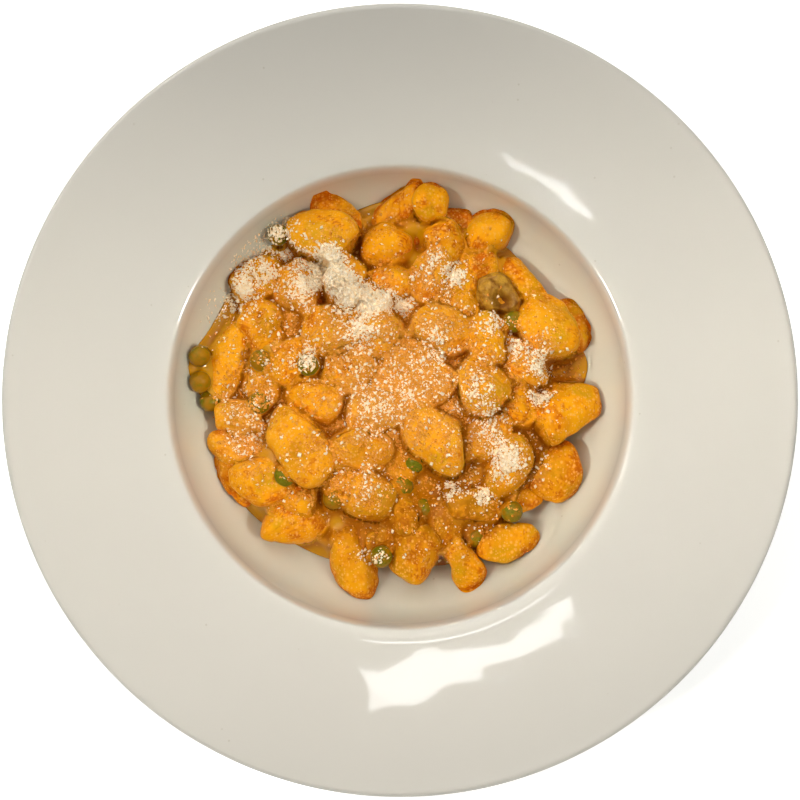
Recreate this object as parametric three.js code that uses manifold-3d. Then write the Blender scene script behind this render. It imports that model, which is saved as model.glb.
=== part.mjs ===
// A portion of potato gnocchi in tomato cream sauce, with peas, a piece of mushroom and grated
// cheese, served in a wide-brimmed pasta bowl.
// Millimetres, +Z up. The origin is the middle of the foot ring's underside.

import * as THREE from "three";
import { mergeVertices } from "three/addons/utils/BufferGeometryUtils.js";
import Module from "manifold-3d";

// ---------------------------------------------------------------- driving dimensions

// The bowl: a deep round well in the middle of a broad, gently rising brim.
const BOWL_RADIUS = 150;
const BOWL_HEIGHT = 52;
const WELL_RADIUS = 88;
const WELL_EDGE_HEIGHT = 40;
const FLOOR_RADIUS = 60;
const WELL_RINGS = [60, 68, 75, 81, 85.5, 87.6];
const FLOOR_HEIGHT = 8;
const WALL = 5;
const LIP = 3.8;
const FOOT_RADIUS = 62;
const FOOT_WIDTH = 6;
const FOOT_RECESS = 2.8;
const FOOT_DRAFT = 0.5;
// The belly leaves the foot and reaches the brim at these angles of its ellipse.
const BELLY_START = -75;
const BELLY_END = -12;
// The brim's two faces bend over one radius, at these heights.
const BRIM_BEND_RADIUS = 122;
const BRIM_BEND_TOP = 43;
const BRIM_BEND_UNDER = 38.5;
// The well's edge is broken in two steps, each out from the well and up or down from its edge.
const EDGE_OUTER = [4, 0.4];
const EDGE_INNER = [1, -0.8];
const ROUND_SIDES = 44;

// The sauce: a thick pool that climbs the wall a little, further on one side than the other.
const SAUCE_LEVEL = 12.5;
const SAUCE_RADIUS = 73;
const SAUCE_LEAN = 7;
const SAUCE_LEAN_BEARING = 125;
// Waves of its outline: how many to the turn, their height, and where they start.
const SAUCE_WAVES = [
  [5, 1.6, 1],
  [9, 0.8, 0],
];
const SAUCE_EDGE = 0.7;
// Rings, as shares of the way to the outline, or past it to the well's edge (1 to 2).
const SAUCE_RINGS_UNDER = [0.78, 0.86, 1];
const CORE_RINGS = [0.5, 0.8, 1];
const WALL_RINGS = [1.4, 1.8, 2];
const SHORE_START = 0.84;
const SHORE_MIDDLE = 0.93;
const BRINK = 1.05;
const OFF_SAUCE = BRINK + 0.01;

// The heap: a core of buried gnocchi, with the ones that show lying over it.
const CORE_RADIUS = 70;
const CORE_RISE = 13;
const CORE_SIDES = 16;
const COAT = 0.5;
const THICKNESS_SHARE = 0.86;
const BLUNTNESS = 2.8;
const SQUARENESS = 0.85;
const MIDDLE_SPAN = 0.4;
const WAIST = 0.07;
const WAIST_SPREAD = 0.06;
const BEND = 0.1;
const BEND_BALANCE = 0.3;
const THUMB = 0.16;
const THUMB_SPAN = 0.5;
const GNOCCO_SIDES = 8;
const SLIM_SIDES = 7;
const SLIM_WIDTH = 16;
// A gnocco feels for what is under it at its ends, middle and shoulders, in shares of its half
// length and half width.
const END = 0.6;
const SHOULDER = 0.5;
const SINK = 3.8;
const STEEPEST = 0.5;

const PEA_RADIUS = 4.3;
const PEA_PRESSED = 2.2;
const SMALL_SIDES = 7;
const SMALL_ROWS = 5;
const MUSHROOM_PRESSED = 0.5;
const MUSHROOM_LOBES = 0.08;
const MUSHROOM_SIDES = 12;
const MUSHROOM_ROWS = 8;
const GAP = 0.3;
const ROOM_OVER_SAUCE = 1.5 * GAP;
const ROOM_OVER_WALL = 2 * GAP;
// A pea or the mushroom feels for the heap and for the dish at these shares of its radius, each
// at so many points round it.
const FEEL_HEAP = [0, 0.4];
const FEEL_DISH = [0, 0.4, 0.7, 0.9];
const FEELERS = 8;

// Each gnocco that shows: x, y, heading in degrees, length, width, without its coat of sauce.
// A piece rests on the ones listed before it, so each group runs from the lowest to the highest.
const FAR_SIDE = [
  [-24, 73, -25, 25, 14],
  [-1, 76, 28, 26, 15],
  [13, 77, -55, 17, 13],
  [-5, 62, 90, 18, 17],
  [35, 66, 10, 21, 17],
  [-31, 64, -10, 30, 19],
  [18, 61, -50, 22, 16],
];
const LEFT_SIDE = [
  [-54, 8, 80, 22, 14],
  [-66, -20, -60, 22, 15],
  [-68, 15, 82, 33, 16],
  [-66, -7, -10, 18, 12],
  [-58, 48, 18, 25, 17],
  [-55, 30, -50, 21, 18],
  [-53, -17, -55, 19, 10],
  [-54, -33, -35, 24, 19],
];
const RIGHT_SIDE = [
  [48, -40, 15, 17, 11],
  [49, 47, -50, 22, 14],
  [68.5, 29, -62, 27, 12],
  [63, -28, 60, 26, 17],
  [45, -1, -70, 21, 15],
  [58, 28, -55, 29, 20],
  [65, -5, 50, 30, 21],
];
const NEAR_SIDE = [
  [17, -52, 60, 17, 13],
  [-43, -50, -12, 26, 16],
  [-19, -65, -62, 27, 17],
  [5, -62, 60, 25, 19],
  [25, -64, -62, 24, 13],
  [42, -56, 30, 24, 16],
  [-10, -58, -75, 14, 10],
];
const MIDDLE = [
  [-20, 10, 20, 24, 16],
  [33, 53, -30, 16, 14],
  [-4, 45, 0, 18, 15],
  [-12, 36, -30, 20, 14],
  [-40, 43, -75, 24, 17],
  [-43, 14, 60, 18, 15],
  [23, 36, 40, 16, 13],
  [12, 48.5, 75, 23, 14],
  [-21, 46, 60, 22, 15],
  [-38, -39, 65, 16, 12],
  [-26, -31, -20, 20, 14],
  [1, -45, -80, 17, 11],
  [28, -41, -3, 25, 14],
  [5, 15, 20, 20, 15],
  [-32, -1, -25, 23, 16],
  [12, 4, 30, 24, 16],
  [33, -16, 40, 22, 15],
  [48, 14, -50, 23, 16],
  [-9, 25, 60, 20, 15],
  [-27, 25, -20, 24, 18],
  [17, 25, -20, 23, 17],
  [32, 4, -45, 24, 18],
  [-9, -5, 25, 25, 17],
  [-15, -21, -35, 24, 17],
  [-12, -40, -20, 22, 18],
  [43, -28, 75, 25, 16],
  [34, 22, 85, 24, 15],
  [-39, -18, -48, 32, 21],
  [14, -16, -35, 28, 21],
];

// Peas that show between the gnocchi: x, y.
const PEAS = [
  [-78.5, 16.5], [-78.5, 6.5], [-75, -0.7], [-54.3, 14.5], [-55, -2], [-35.6, 12.5], [-48, 64.5],
  [2, 24], [45, 30], [-44.5, -30.5], [6, -25], [1, -34.5], [8.5, -43.5], [-25.5, -39.5], [-7, -62],
  [44, -44.5], [30, -54.5],
];

const MUSHROOM = { x: 38.5, y: 41, heading: -35, length: 19, width: 16, height: 15 };

// Grated cheese lies in drifts: x, y, radius, number of flakes.
const DRIFTS = [
  [-22, 43, 12, 7],
  [-8, 35, 12, 6],
  [-50, 45, 10, 4],
  [14, 45, 9, 4],
  [20, 19, 14, 3],
  [42, -23, 11, 5],
  [-6, -5, 14, 4],
];
const FLAKE = 1.6;
const FLAKE_SPREAD = 0.3;
const FLAKE_SHAPE = [1.3, 0.9, 0.8];
const FLAKE_LIFT = 0.1;

// ---------------------------------------------------------------- solids and small helpers

const wasm = await Module();
wasm.setup();

const radians = THREE.MathUtils.degToRad;

// A repeatable number from -1 to 1 for a piece, so that no two pieces are quite alike.
const uneven = (piece, trait) => Math.sin(piece * 12.9898 + trait * 78.233);

// A closed geometry as a manifold-3d solid.
function solid(geometry) {
  const bare = geometry.clone();
  bare.deleteAttribute("normal");
  bare.deleteAttribute("uv");
  const merged = mergeVertices(bare, 1e-4);
  return new wasm.Manifold(
    new wasm.Mesh({
      numProp: 3,
      vertProperties: merged.getAttribute("position").array,
      triVerts: new Uint32Array(merged.index.array),
    }),
  );
}

// A manifold-3d solid as a geometry.
function geometryOf(shape) {
  const { vertProperties, triVerts } = shape.getMesh();
  const geometry = new THREE.BufferGeometry();
  geometry.setAttribute("position", new THREE.BufferAttribute(vertProperties, 3));
  geometry.setIndex(new THREE.BufferAttribute(triVerts, 1));
  geometry.computeVertexNormals();
  return geometry;
}

// Moves every vertex of a geometry to the place that a function gives for it.
function reshape(geometry, place) {
  const position = geometry.getAttribute("position");
  const at = new THREE.Vector3();
  for (let i = 0; i < position.count; i++) {
    at.fromBufferAttribute(position, i);
    place(at);
    position.setXYZ(i, at.x, at.y, at.z);
  }
  return geometry;
}

// A turned solid from a path of (radius, height), with its axis along Z.
const turned = (path, sides) =>
  new THREE.LatheGeometry(path.getPoints(2), sides).rotateX(Math.PI / 2);

// A layer between two surfaces given by radius and bearing. Its rings are shares of the way
// to the outline that the reach function gives for a share and a bearing.
function layer({ lowerRings, upperRings, reach, underside, topside, sides = ROUND_SIDES }) {
  const path = new THREE.Path().moveTo(0, -1);
  lowerRings.forEach((share) => path.lineTo(share, -1));
  upperRings.toReversed().forEach((share) => path.lineTo(share, 1));
  path.lineTo(0, 1);
  return reshape(turned(path, sides), (at) => {
    const bearing = Math.atan2(at.y, at.x);
    const share = Math.hypot(at.x, at.y);
    const radius = reach(share, bearing);
    at.z = at.z < 0 ? underside(radius, bearing, share) : topside(radius, bearing, share);
    at.x = radius * Math.cos(bearing);
    at.y = radius * Math.sin(bearing);
  });
}

const mesh = (name, geometry, color, roughness) => {
  const made = new THREE.Mesh(
    geometry,
    new THREE.MeshStandardMaterial({ color, roughness, metalness: 0 }),
  );
  made.name = name;
  return made;
};

// ---------------------------------------------------------------- the bowl

// The height of the ceramic inside the well: a flat floor that sweeps up as a quarter ellipse.
function wellHeight(radius) {
  const across = Math.min(Math.max(radius - FLOOR_RADIUS, 0) / (WELL_RADIUS - FLOOR_RADIUS), 1);
  return WELL_EDGE_HEIGHT - (WELL_EDGE_HEIGHT - FLOOR_HEIGHT) * Math.sqrt(1 - across ** 2);
}

// The same sweep as the bowl's facets have it, which what lies on them keeps clear of.
function facetHeight(radius) {
  const outer = WELL_RINGS.findIndex((ring) => ring > radius);
  if (outer < 1) return wellHeight(radius);
  const share = (radius - WELL_RINGS[outer - 1]) / (WELL_RINGS[outer] - WELL_RINGS[outer - 1]);
  const [low, high] = [WELL_RINGS[outer - 1], WELL_RINGS[outer]].map(wellHeight);
  return low + (high - low) * share;
}

function bowl() {
  const sweep = WELL_RADIUS - FLOOR_RADIUS + WALL;
  const depth = WELL_EDGE_HEIGHT - FLOOR_HEIGHT + WALL;
  const rimStart = BOWL_RADIUS - LIP / 2;
  const lipMiddle = BOWL_HEIGHT - LIP / 2;
  const belly = [BELLY_START, BELLY_END].map(radians);
  const edge = ([out, up]) => [WELL_RADIUS + out, WELL_EDGE_HEIGHT + up];
  const path = new THREE.Path()
    .moveTo(0, FOOT_RECESS)
    .lineTo(FOOT_RADIUS - FOOT_WIDTH - 1, FOOT_RECESS)
    .lineTo(FOOT_RADIUS - FOOT_WIDTH, 0)
    .lineTo(FOOT_RADIUS, 0)
    .lineTo(FOOT_RADIUS + FOOT_DRAFT, FLOOR_HEIGHT - WALL)
    .absellipse(FLOOR_RADIUS, WELL_EDGE_HEIGHT, sweep, depth, ...belly)
    .quadraticCurveTo(BRIM_BEND_RADIUS, BRIM_BEND_UNDER, rimStart, BOWL_HEIGHT - LIP)
    .quadraticCurveTo(BOWL_RADIUS, BOWL_HEIGHT - LIP, BOWL_RADIUS, lipMiddle)
    .quadraticCurveTo(BOWL_RADIUS, BOWL_HEIGHT, rimStart, BOWL_HEIGHT)
    .quadraticCurveTo(BRIM_BEND_RADIUS, BRIM_BEND_TOP, ...edge(EDGE_OUTER))
    .lineTo(...edge(EDGE_INNER));
  WELL_RINGS.toReversed().forEach((radius) => path.lineTo(radius, wellHeight(radius)));
  path.lineTo(0, FLOOR_HEIGHT);
  return turned(path, ROUND_SIDES);
}

// ---------------------------------------------------------------- the sauce

const sauceOutline = (bearing) =>
  SAUCE_WAVES.reduce(
    (reach, [count, height, start]) => reach + height * Math.sin(count * bearing + start),
    SAUCE_RADIUS + SAUCE_LEAN * Math.cos(bearing - radians(SAUCE_LEAN_BEARING)),
  );

// The pool's surface: level in the middle, and drawn up or down to the ceramic at its outline.
function sauceTop(radius, bearing) {
  const shore = sauceOutline(bearing);
  const share = THREE.MathUtils.clamp((radius / shore - SHORE_START) / (1 - SHORE_START), 0, 1);
  return SAUCE_LEVEL + (wellHeight(shore) + GAP + SAUCE_EDGE - SAUCE_LEVEL) * share ** 2;
}

const sauce = () =>
  layer({
    lowerRings: SAUCE_RINGS_UNDER,
    upperRings: [SHORE_START, SHORE_MIDDLE, 1],
    reach: (share, bearing) => share * sauceOutline(bearing),
    underside: (radius) => facetHeight(radius) + GAP,
    topside: sauceTop,
  });

// ---------------------------------------------------------------- the gnocchi

// The top of the buried gnocchi, which the ones that show rest on.
function coreTop(radius) {
  return SAUCE_LEVEL + CORE_RISE * (1 - (radius / CORE_RADIUS) ** 2);
}

// The top of a settled gnocco over a point, or nothing where it doesn't reach.
function topOf(piece, x, y) {
  const dx = x - piece.x;
  const dy = y - piece.y;
  const along = (dx * Math.cos(piece.heading) + dy * Math.sin(piece.heading)) / piece.a;
  const across = (dy * Math.cos(piece.heading) - dx * Math.sin(piece.heading)) / piece.b;
  const inside = 1 - Math.abs(along) ** BLUNTNESS - across ** 2;
  return inside > 0 ? piece.z + piece.rise * along + piece.c * Math.sqrt(inside) : -Infinity;
}

const topAt = (placed, x, y) =>
  Math.max(
    wellHeight(Math.hypot(x, y)),
    coreTop(Math.hypot(x, y)),
    ...placed.map((piece) => topOf(piece, x, y)),
  );

// Sets a gnocco down on what is already there. Each end finds its own height, which tilts it.
function settle(placed, [x, y, heading, length, width]) {
  const piece = { x, y, heading: radians(heading), a: length / 2 + COAT, b: width / 2 + COAT };
  piece.c = piece.b * THICKNESS_SHARE;
  const heightAt = (along) =>
    Math.max(
      ...[-SHOULDER, 0, SHOULDER].map((across) => {
        const sx = along * piece.a;
        const sy = across * piece.b;
        const px = x + sx * Math.cos(piece.heading) - sy * Math.sin(piece.heading);
        const py = y + sx * Math.sin(piece.heading) + sy * Math.cos(piece.heading);
        const hang = piece.c * Math.sqrt(1 - Math.abs(along) ** BLUNTNESS - across ** 2);
        return topAt(placed, px, py) + hang - SINK;
      }),
    );
  const [back, middle, front] = [-END, 0, END].map(heightAt);
  const steepest = STEEPEST * piece.a;
  piece.rise = THREE.MathUtils.clamp((front - back) / (2 * END), -steepest, steepest);
  piece.z = Math.max((front + back) / 2, middle);
  return [...placed, piece];
}

// A short pillow of dough: blunt ends, a soft square section, a waist, a slight bend and the
// dent of a thumb on top.
function gnocco(piece, index) {
  const waist = WAIST + WAIST_SPREAD * uneven(index, 1);
  const bend = BEND * uneven(index, 2);
  const thumb = THUMB + THUMB * uneven(index, 3);
  const squared = (v) => Math.sign(v) * Math.abs(v) ** SQUARENESS;
  const nearMiddle = (along) => Math.exp(-((along / MIDDLE_SPAN) ** 2));
  const sides = piece.b < SLIM_WIDTH / 2 + COAT ? SLIM_SIDES : GNOCCO_SIDES;
  const geometry = new THREE.SphereGeometry(1, sides, SMALL_ROWS).rotateZ(Math.PI / 2);
  reshape(geometry, (at) => {
    const around = Math.atan2(at.z, at.y);
    const along = squared(at.x);
    const girth = Math.sqrt(1 - Math.abs(along) ** BLUNTNESS) * (1 - waist * nearMiddle(along));
    const side = girth * squared(Math.cos(around));
    const up = girth * squared(Math.sin(around));
    const underThumb = nearMiddle(along) * Math.exp(-((side / THUMB_SPAN) ** 2));
    const dent = up > 0 ? thumb * underThumb : 0;
    at.x = piece.a * along;
    at.y = piece.b * (side + bend * (along ** 2 - BEND_BALANCE));
    at.z = piece.c * up * (1 - dent);
  });
  return geometry.applyMatrix4(
    new THREE.Matrix4()
      .makeTranslation(piece.x, piece.y, piece.z)
      .multiply(new THREE.Matrix4().makeRotationZ(piece.heading))
      .multiply(new THREE.Matrix4().makeRotationY(-Math.atan2(piece.rise, piece.a))),
  );
}

const shown = [FAR_SIDE, LEFT_SIDE, RIGHT_SIDE, NEAR_SIDE, MIDDLE].flat().reduce(settle, []);

// ---------------------------------------------------------------- the heap before it is cut

const core = layer({
  lowerRings: [1],
  upperRings: CORE_RINGS,
  reach: (share) => share * CORE_RADIUS,
  underside: () => FLOOR_HEIGHT,
  topside: coreTop,
  sides: CORE_SIDES,
});
const pieces = shown.map(gnocco);
const surfaces = [core, ...pieces].map((geometry) => new THREE.Mesh(geometry));
const down = new THREE.Vector3(0, 0, -1);

// The height at which something let down at a point meets the heap, or 0 beside the heap.
function heapTop(x, y) {
  const ray = new THREE.Raycaster(new THREE.Vector3(x, y, 2 * BOWL_HEIGHT), down);
  const [first] = ray.intersectObjects(surfaces, false);
  return first ? first.point.z : 0;
}

// The height of the sauce or, outside it, of the ceramic.
function dishTop(x, y) {
  const [radius, bearing] = [Math.hypot(x, y), Math.atan2(y, x)];
  return radius < sauceOutline(bearing) ? sauceTop(radius, bearing) : facetHeight(radius);
}

// The height for the middle of an ellipsoid that is let down at a point. It is pressed in
// between the gnocchi, and stays clear of the sauce and the bowl.
function restingHeight({ x, y }, spread, halfHeight, pressed) {
  const touch = (share, surface) =>
    Array.from({ length: FEELERS }, (_, i) => {
      const px = x + share * spread * Math.cos((2 * i * Math.PI) / FEELERS);
      const py = y + share * spread * Math.sin((2 * i * Math.PI) / FEELERS);
      return surface(px, py) + halfHeight * Math.sqrt(1 - share ** 2);
    });
  const intoHeap = (px, py) => heapTop(px, py) - pressed;
  const onHeap = FEEL_HEAP.flatMap((share) => touch(share, intoHeap));
  const onDish = FEEL_DISH.flatMap((share) => touch(share, dishTop));
  return Math.max(...onHeap, Math.max(...onDish) + GAP);
}

// ---------------------------------------------------------------- peas, mushroom and cheese

const peaCentres = PEAS.map(([x, y]) => {
  const height = restingHeight({ x, y }, PEA_RADIUS, PEA_RADIUS, PEA_PRESSED);
  return new THREE.Vector3(x, y, height);
});

const pea = (centre, radius) =>
  new THREE.SphereGeometry(radius, SMALL_SIDES, SMALL_ROWS).translate(...centre);

// A domed piece of cap, lying gill side down on the gnocchi.
function mushroom(grow = 0) {
  const { heading, length, width, height } = MUSHROOM;
  const geometry = new THREE.SphereGeometry(1, MUSHROOM_SIDES, MUSHROOM_ROWS).rotateX(Math.PI / 2);
  reshape(geometry, (at) => {
    const lobes = 1 + MUSHROOM_LOBES * Math.cos(3 * Math.atan2(at.y, at.x));
    at.x *= (length / 2 + grow) * lobes;
    at.y *= (width / 2 + grow) * lobes;
    at.z *= at.z < 0 ? height / 4 + grow : height / 2 + grow;
  });
  const rest = restingHeight(MUSHROOM, width / 2, height / 4, MUSHROOM_PRESSED);
  return geometry.rotateZ(radians(heading)).translate(MUSHROOM.x, MUSHROOM.y, rest);
}

// The flakes of one drift, spread by the golden angle so that they cover it evenly. Those that
// would miss the heap are left out.
function drift([x, y, radius, count], index) {
  const golden = Math.PI * (3 - Math.sqrt(5));
  return Array.from({ length: count }, (_, i) => {
    const reach = radius * Math.sqrt((i + 0.5) / count);
    const at = { x: x + reach * Math.cos(i * golden), y: y + reach * Math.sin(i * golden) };
    return { ...at, z: heapTop(at.x, at.y), trait: i };
  })
    .filter((flake) => flake.z > SAUCE_LEVEL + 2 * FLAKE)
    .map((flake) =>
      new THREE.OctahedronGeometry(FLAKE * (1 + FLAKE_SPREAD * uneven(flake.trait, index)))
        .scale(...FLAKE_SHAPE)
        .rotateX(uneven(flake.trait, 5))
        .rotateZ(3 * uneven(flake.trait, 6))
        .translate(flake.x, flake.y, flake.z + FLAKE_LIFT),
    );
}

// ---------------------------------------------------------------- the heap, in one piece

// The space that the heap may fill: above the sauce, and inside the bowl's wall. Shares up to
// 1 reach the sauce's outline, and those from 1 to 2 go on to the well's edge.
const room = layer({
  lowerRings: [SHORE_START, SHORE_MIDDLE, 1, BRINK, ...WALL_RINGS],
  upperRings: [2],
  reach: (share, bearing) => {
    const shore = sauceOutline(bearing);
    return share < 1 ? share * shore : shore + (share - 1) * (WELL_RADIUS - 1 - shore);
  },
  underside: (radius, bearing, share) =>
    share < OFF_SAUCE
      ? sauceTop(radius, bearing) + ROOM_OVER_SAUCE
      : facetHeight(radius) + ROOM_OVER_WALL,
  topside: () => 2 * BOWL_HEIGHT,
});

function heap() {
  const whole = wasm.Manifold.union([core, ...pieces, ...DRIFTS.flatMap(drift)].map(solid));
  const toppings = [...peaCentres.map((centre) => pea(centre, PEA_RADIUS + GAP)), mushroom(GAP)];
  return whole.intersect(solid(room)).subtract(wasm.Manifold.union(toppings.map(solid)));
}

// ---------------------------------------------------------------- the part

const part = new THREE.Group();
part.add(mesh("bowl", bowl(), 0xdcd7cc, 0.15));
part.add(mesh("sauce", sauce(), 0xcf7a08, 0.3));
part.add(mesh("gnocchi_heap", geometryOf(heap()), 0xe99a12, 0.35));
part.add(mesh("mushroom", mushroom(), 0x8a5a1e, 0.45));
peaCentres.forEach((centre, i) => {
  const name = `pea_${String(i + 1).padStart(2, "0")}`;
  part.add(mesh(name, pea(centre, PEA_RADIUS), 0x5f7a1c, 0.35));
});

export default part;
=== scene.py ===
# %% [markdown]
# # A bowl of potato gnocchi
# A portion of potato gnocchi in tomato cream sauce fills the deep well of a wide-brimmed
# porcelain bowl. Peas, a piece of mushroom and grated hard cheese lie on and between the
# gnocchi. Everything is made with numpy: each form is a function of two parameters, and one
# small helper turns its points into a mesh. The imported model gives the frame: its box, the
# places of the peas and of the mushroom, and the nodes that the pieces stand for.

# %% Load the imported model
import itertools
import math

import bpy
import numpy as np
from mathutils import Matrix, Vector


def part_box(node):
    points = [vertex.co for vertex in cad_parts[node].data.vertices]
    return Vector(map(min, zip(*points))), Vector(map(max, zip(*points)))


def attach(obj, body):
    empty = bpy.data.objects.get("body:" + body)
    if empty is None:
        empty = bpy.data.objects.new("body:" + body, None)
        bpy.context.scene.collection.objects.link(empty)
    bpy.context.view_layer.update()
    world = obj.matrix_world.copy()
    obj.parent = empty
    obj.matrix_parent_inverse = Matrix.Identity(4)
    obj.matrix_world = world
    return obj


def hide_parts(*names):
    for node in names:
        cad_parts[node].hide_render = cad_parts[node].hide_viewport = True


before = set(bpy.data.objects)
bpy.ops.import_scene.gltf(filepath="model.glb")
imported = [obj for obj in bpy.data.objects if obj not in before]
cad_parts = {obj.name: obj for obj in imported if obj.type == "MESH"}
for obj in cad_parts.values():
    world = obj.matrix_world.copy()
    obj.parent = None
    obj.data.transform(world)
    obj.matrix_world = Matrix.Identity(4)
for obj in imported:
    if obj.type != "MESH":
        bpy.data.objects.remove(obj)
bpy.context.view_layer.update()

# %% [markdown]
# ## Small helpers
# Lengths are worked out in millimetres, because that is how food and tableware are measured,
# and turned to metres in one place, where a mesh is made. Colours are written as they look on
# a screen and turned to the linear values that a renderer reckons with.

# %% Colours and nodes
MM = 0.001
COLOURS = {"data_type": "RGBA"}


def linear(colour):
    """An sRGB hex colour as linear RGBA: a twelfth of the value near black, else a 2.4 power."""
    parts = np.array([int(colour[i : i + 2], 16) / 255 for i in (1, 3, 5)])
    parts = np.where(parts < 0.04045, parts / 12.92, ((parts + 0.055) / 1.055) ** 2.4)
    return (*parts.tolist(), 1.0)


def add(tree, kind, settings=None, **inputs):
    """Adds a shader node and returns its output: of a Mix the colour, of an Attribute the
    number, else the first. `settings` are its own properties, or one word for its operation.
    `i0`, `i6` and so on are inputs by number and other words are inputs by name, `_` for a
    space: a socket is linked, a hex colour made linear, and the rest is the input's value."""
    made = tree.nodes.new("ShaderNode" + kind)
    if isinstance(settings, str):
        settings = {"operation": settings}
    for name, value in (settings or {}).items():
        setattr(made, name, value)
    for name, value in inputs.items():
        socket = made.inputs[int(name[1:]) if name[1:].isdigit() else name.replace("_", " ")]
        if isinstance(value, bpy.types.NodeSocket):
            tree.links.new(value, socket)
        else:
            socket.default_value = linear(value) if isinstance(value, str) else value
    return made.outputs[2 if kind in ("Mix", "Attribute") else 0] if made.outputs else None


print("cream white in linear light", [round(v, 3) for v in linear("#dcd7cc")])

# %% [markdown]
# Random lumps, streaks and crumbs all come from one smooth random field. It gives a value to
# the corner of every cube of a chosen size, always the same one for the same corner, and
# blends between the corners, so that the scene is the same each time it is made.

# %% A smooth random field
def lumps(points, size, seed=0):
    """Smooth random numbers from -1 to 1 for an array of points in mm. Every corner of a cube
    of the given size has a number; between them they are blended with 3t^2 - 2t^3."""
    place = np.asarray(points, float) / size
    cell = np.floor(place).astype(np.int64)
    part = place - cell
    ease = part * part * (3 - 2 * part)
    total = np.zeros(place.shape[:-1])
    for corner in itertools.product((0, 1), repeat=place.shape[-1]):
        key = np.full(total.shape, seed * 374761393 + 668265263, np.int64)
        for axis, step in enumerate(corner):
            key = (key ^ (cell[..., axis] + step)) * 1274126177 & 0x7FFFFFFF
            key ^= key >> 13
        share = np.prod(np.where(np.array(corner) == 1, ease, 1 - ease), axis=-1)
        total += share * ((key % 65536) / 32767.5 - 1)
    return total


print("lumps at three points", lumps([[0, 0, 0], [3, 1, 2], [9, 4, 4]], 5).round(2))

# %% [markdown]
# A closed form such as a pillow of dough, a pea or a turned bowl has one pole, then rows of
# points around it, then the other pole. All of them share one pattern of triangles. Blender's
# own spheres could be bent into these forms, but whole arrays are quicker and give each form
# as a formula.

# %% From points to a mesh
def angles(rows, sides):
    """For each point of a closed form, its angle from the first pole and its angle round."""
    slope = np.pi * np.arange(1, rows + 1) / (rows + 1)
    turn = 2 * np.pi * np.arange(sides) / sides
    slope, turn = np.meshgrid(slope, turn, indexing="ij")
    return np.concatenate([[0], slope.ravel(), [np.pi]]), np.concatenate([[0], turn.ravel(), [0]])


def rotated(x, y, angle):
    """A pair of coordinates turned by an angle: x cos - y sin, and x sin + y cos."""
    c, s = math.cos(angle), math.sin(angle)
    return x * c - y * s, x * s + y * c


def closed_faces(rows, sides):
    """Triangles of a closed surface: a fan at each pole, and two to each square between."""
    this = np.arange(sides)
    ahead = (this + 1) % sides
    last = 1 + rows * sides
    fans = [
        np.stack([0 * this, 1 + ahead, 1 + this], 1),
        np.stack([0 * this + last, last - sides + this, last - sides + ahead], 1),
    ]
    start = 1 + sides * np.arange(rows - 1)[:, None]
    a, b = start + this, start + ahead
    squares = [np.stack([a, b, b + sides], -1), np.stack([a, b + sides, a + sides], -1)]
    return np.concatenate([*fans, *(s.reshape(-1, 3) for s in squares)])


def many(shapes, faces):
    """Several shapes (shape, point, xyz) with the same triangles, as one list of each."""
    count = shapes.shape[1]
    faces = faces + count * np.arange(len(shapes))[:, None, None]
    return shapes.reshape(-1, 3), faces.reshape(-1, 3)


def make(name, points, faces, material, slot, stands_for, **attributes):
    """A mesh object at the origin, from points in mm and triangles, with a number for each
    point and attribute. It is turned outside out by the sign of its volume, rides on the
    model's one body and hides the nodes that it stands for."""
    a, b, c = (points[faces[:, i]] for i in range(3))
    volume = np.einsum("ij,ij->i", a, np.cross(b, c)).sum() / 6
    if volume < 0:
        faces = faces[:, ::-1]
    mesh = bpy.data.meshes.new(name)
    mesh.vertices.add(len(points))
    mesh.vertices.foreach_set("co", (points * MM).astype(np.float32).ravel())
    mesh.loops.add(faces.size)
    mesh.loops.foreach_set("vertex_index", faces.astype(np.int32).ravel())
    mesh.polygons.add(len(faces))
    mesh.polygons.foreach_set("loop_start", 3 * np.arange(len(faces), dtype=np.int32))
    mesh.polygons.foreach_set("use_smooth", np.ones(len(faces), bool))
    for trait, values in attributes.items():
        layer = mesh.attributes.new(trait, "FLOAT", "POINT")
        layer.data.foreach_set("value", np.asarray(values, np.float32).ravel())
    mesh.update(calc_edges=True)
    mesh.materials.append(material)
    piece = bpy.data.objects.new(name, mesh)
    bpy.context.collection.objects.link(piece)
    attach(piece, "root")
    if stands_for:
        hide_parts(*stands_for)
    print(f"{name}: {len(faces)} triangles, {abs(volume) / 1000:.1f} cubic cm")


print(len(closed_faces(3, 8)), "triangles close three rows of eight points")

# %% [markdown]
# ## The camera
# The bowl is seen from above, from a point a little on the near side of its middle, as somebody
# sees it who leans over the table. The lens is as long as makes the rim fill the picture, and
# the tilt puts the rim in the middle of it. Both are worked out from points on the rim.

# %% Camera
RIM_RADIUS, RIM_HEIGHT = 150.0, 52.0
EYE = np.array([0.0, -50.0, 650.0])
SENSOR = 36.0
FILLED = 0.998

bearings = np.linspace(0, 2 * np.pi, 721)
rim = np.stack([RIM_RADIUS * np.cos(bearings), RIM_RADIUS * np.sin(bearings),
                np.full(bearings.shape, RIM_HEIGHT)], 1) - EYE
tilts = np.radians(np.linspace(-10, 10, 4001))[:, None]
depth = rim[:, 1] * -np.sin(tilts) - rim[:, 2] * np.cos(tilts)
height = (rim[:, 1] * np.cos(tilts) - rim[:, 2] * np.sin(tilts)) / depth
tilt = np.argmin(np.abs(height.max(1) + height.min(1)))
width = np.ptp(rim[:, 0] / depth[tilt])

camera = bpy.data.objects.new("camera", bpy.data.cameras.new("camera"))
camera.data.sensor_width = SENSOR
camera.data.lens = FILLED * SENSOR / width
camera.location = EYE * MM
camera.rotation_euler = (-tilts[tilt, 0], 0, 0)
bpy.context.collection.objects.link(camera)
bpy.context.scene.camera = camera
print(f"tilt {math.degrees(tilts[tilt, 0]):.2f} degrees, lens {camera.data.lens:.1f} mm")

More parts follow.
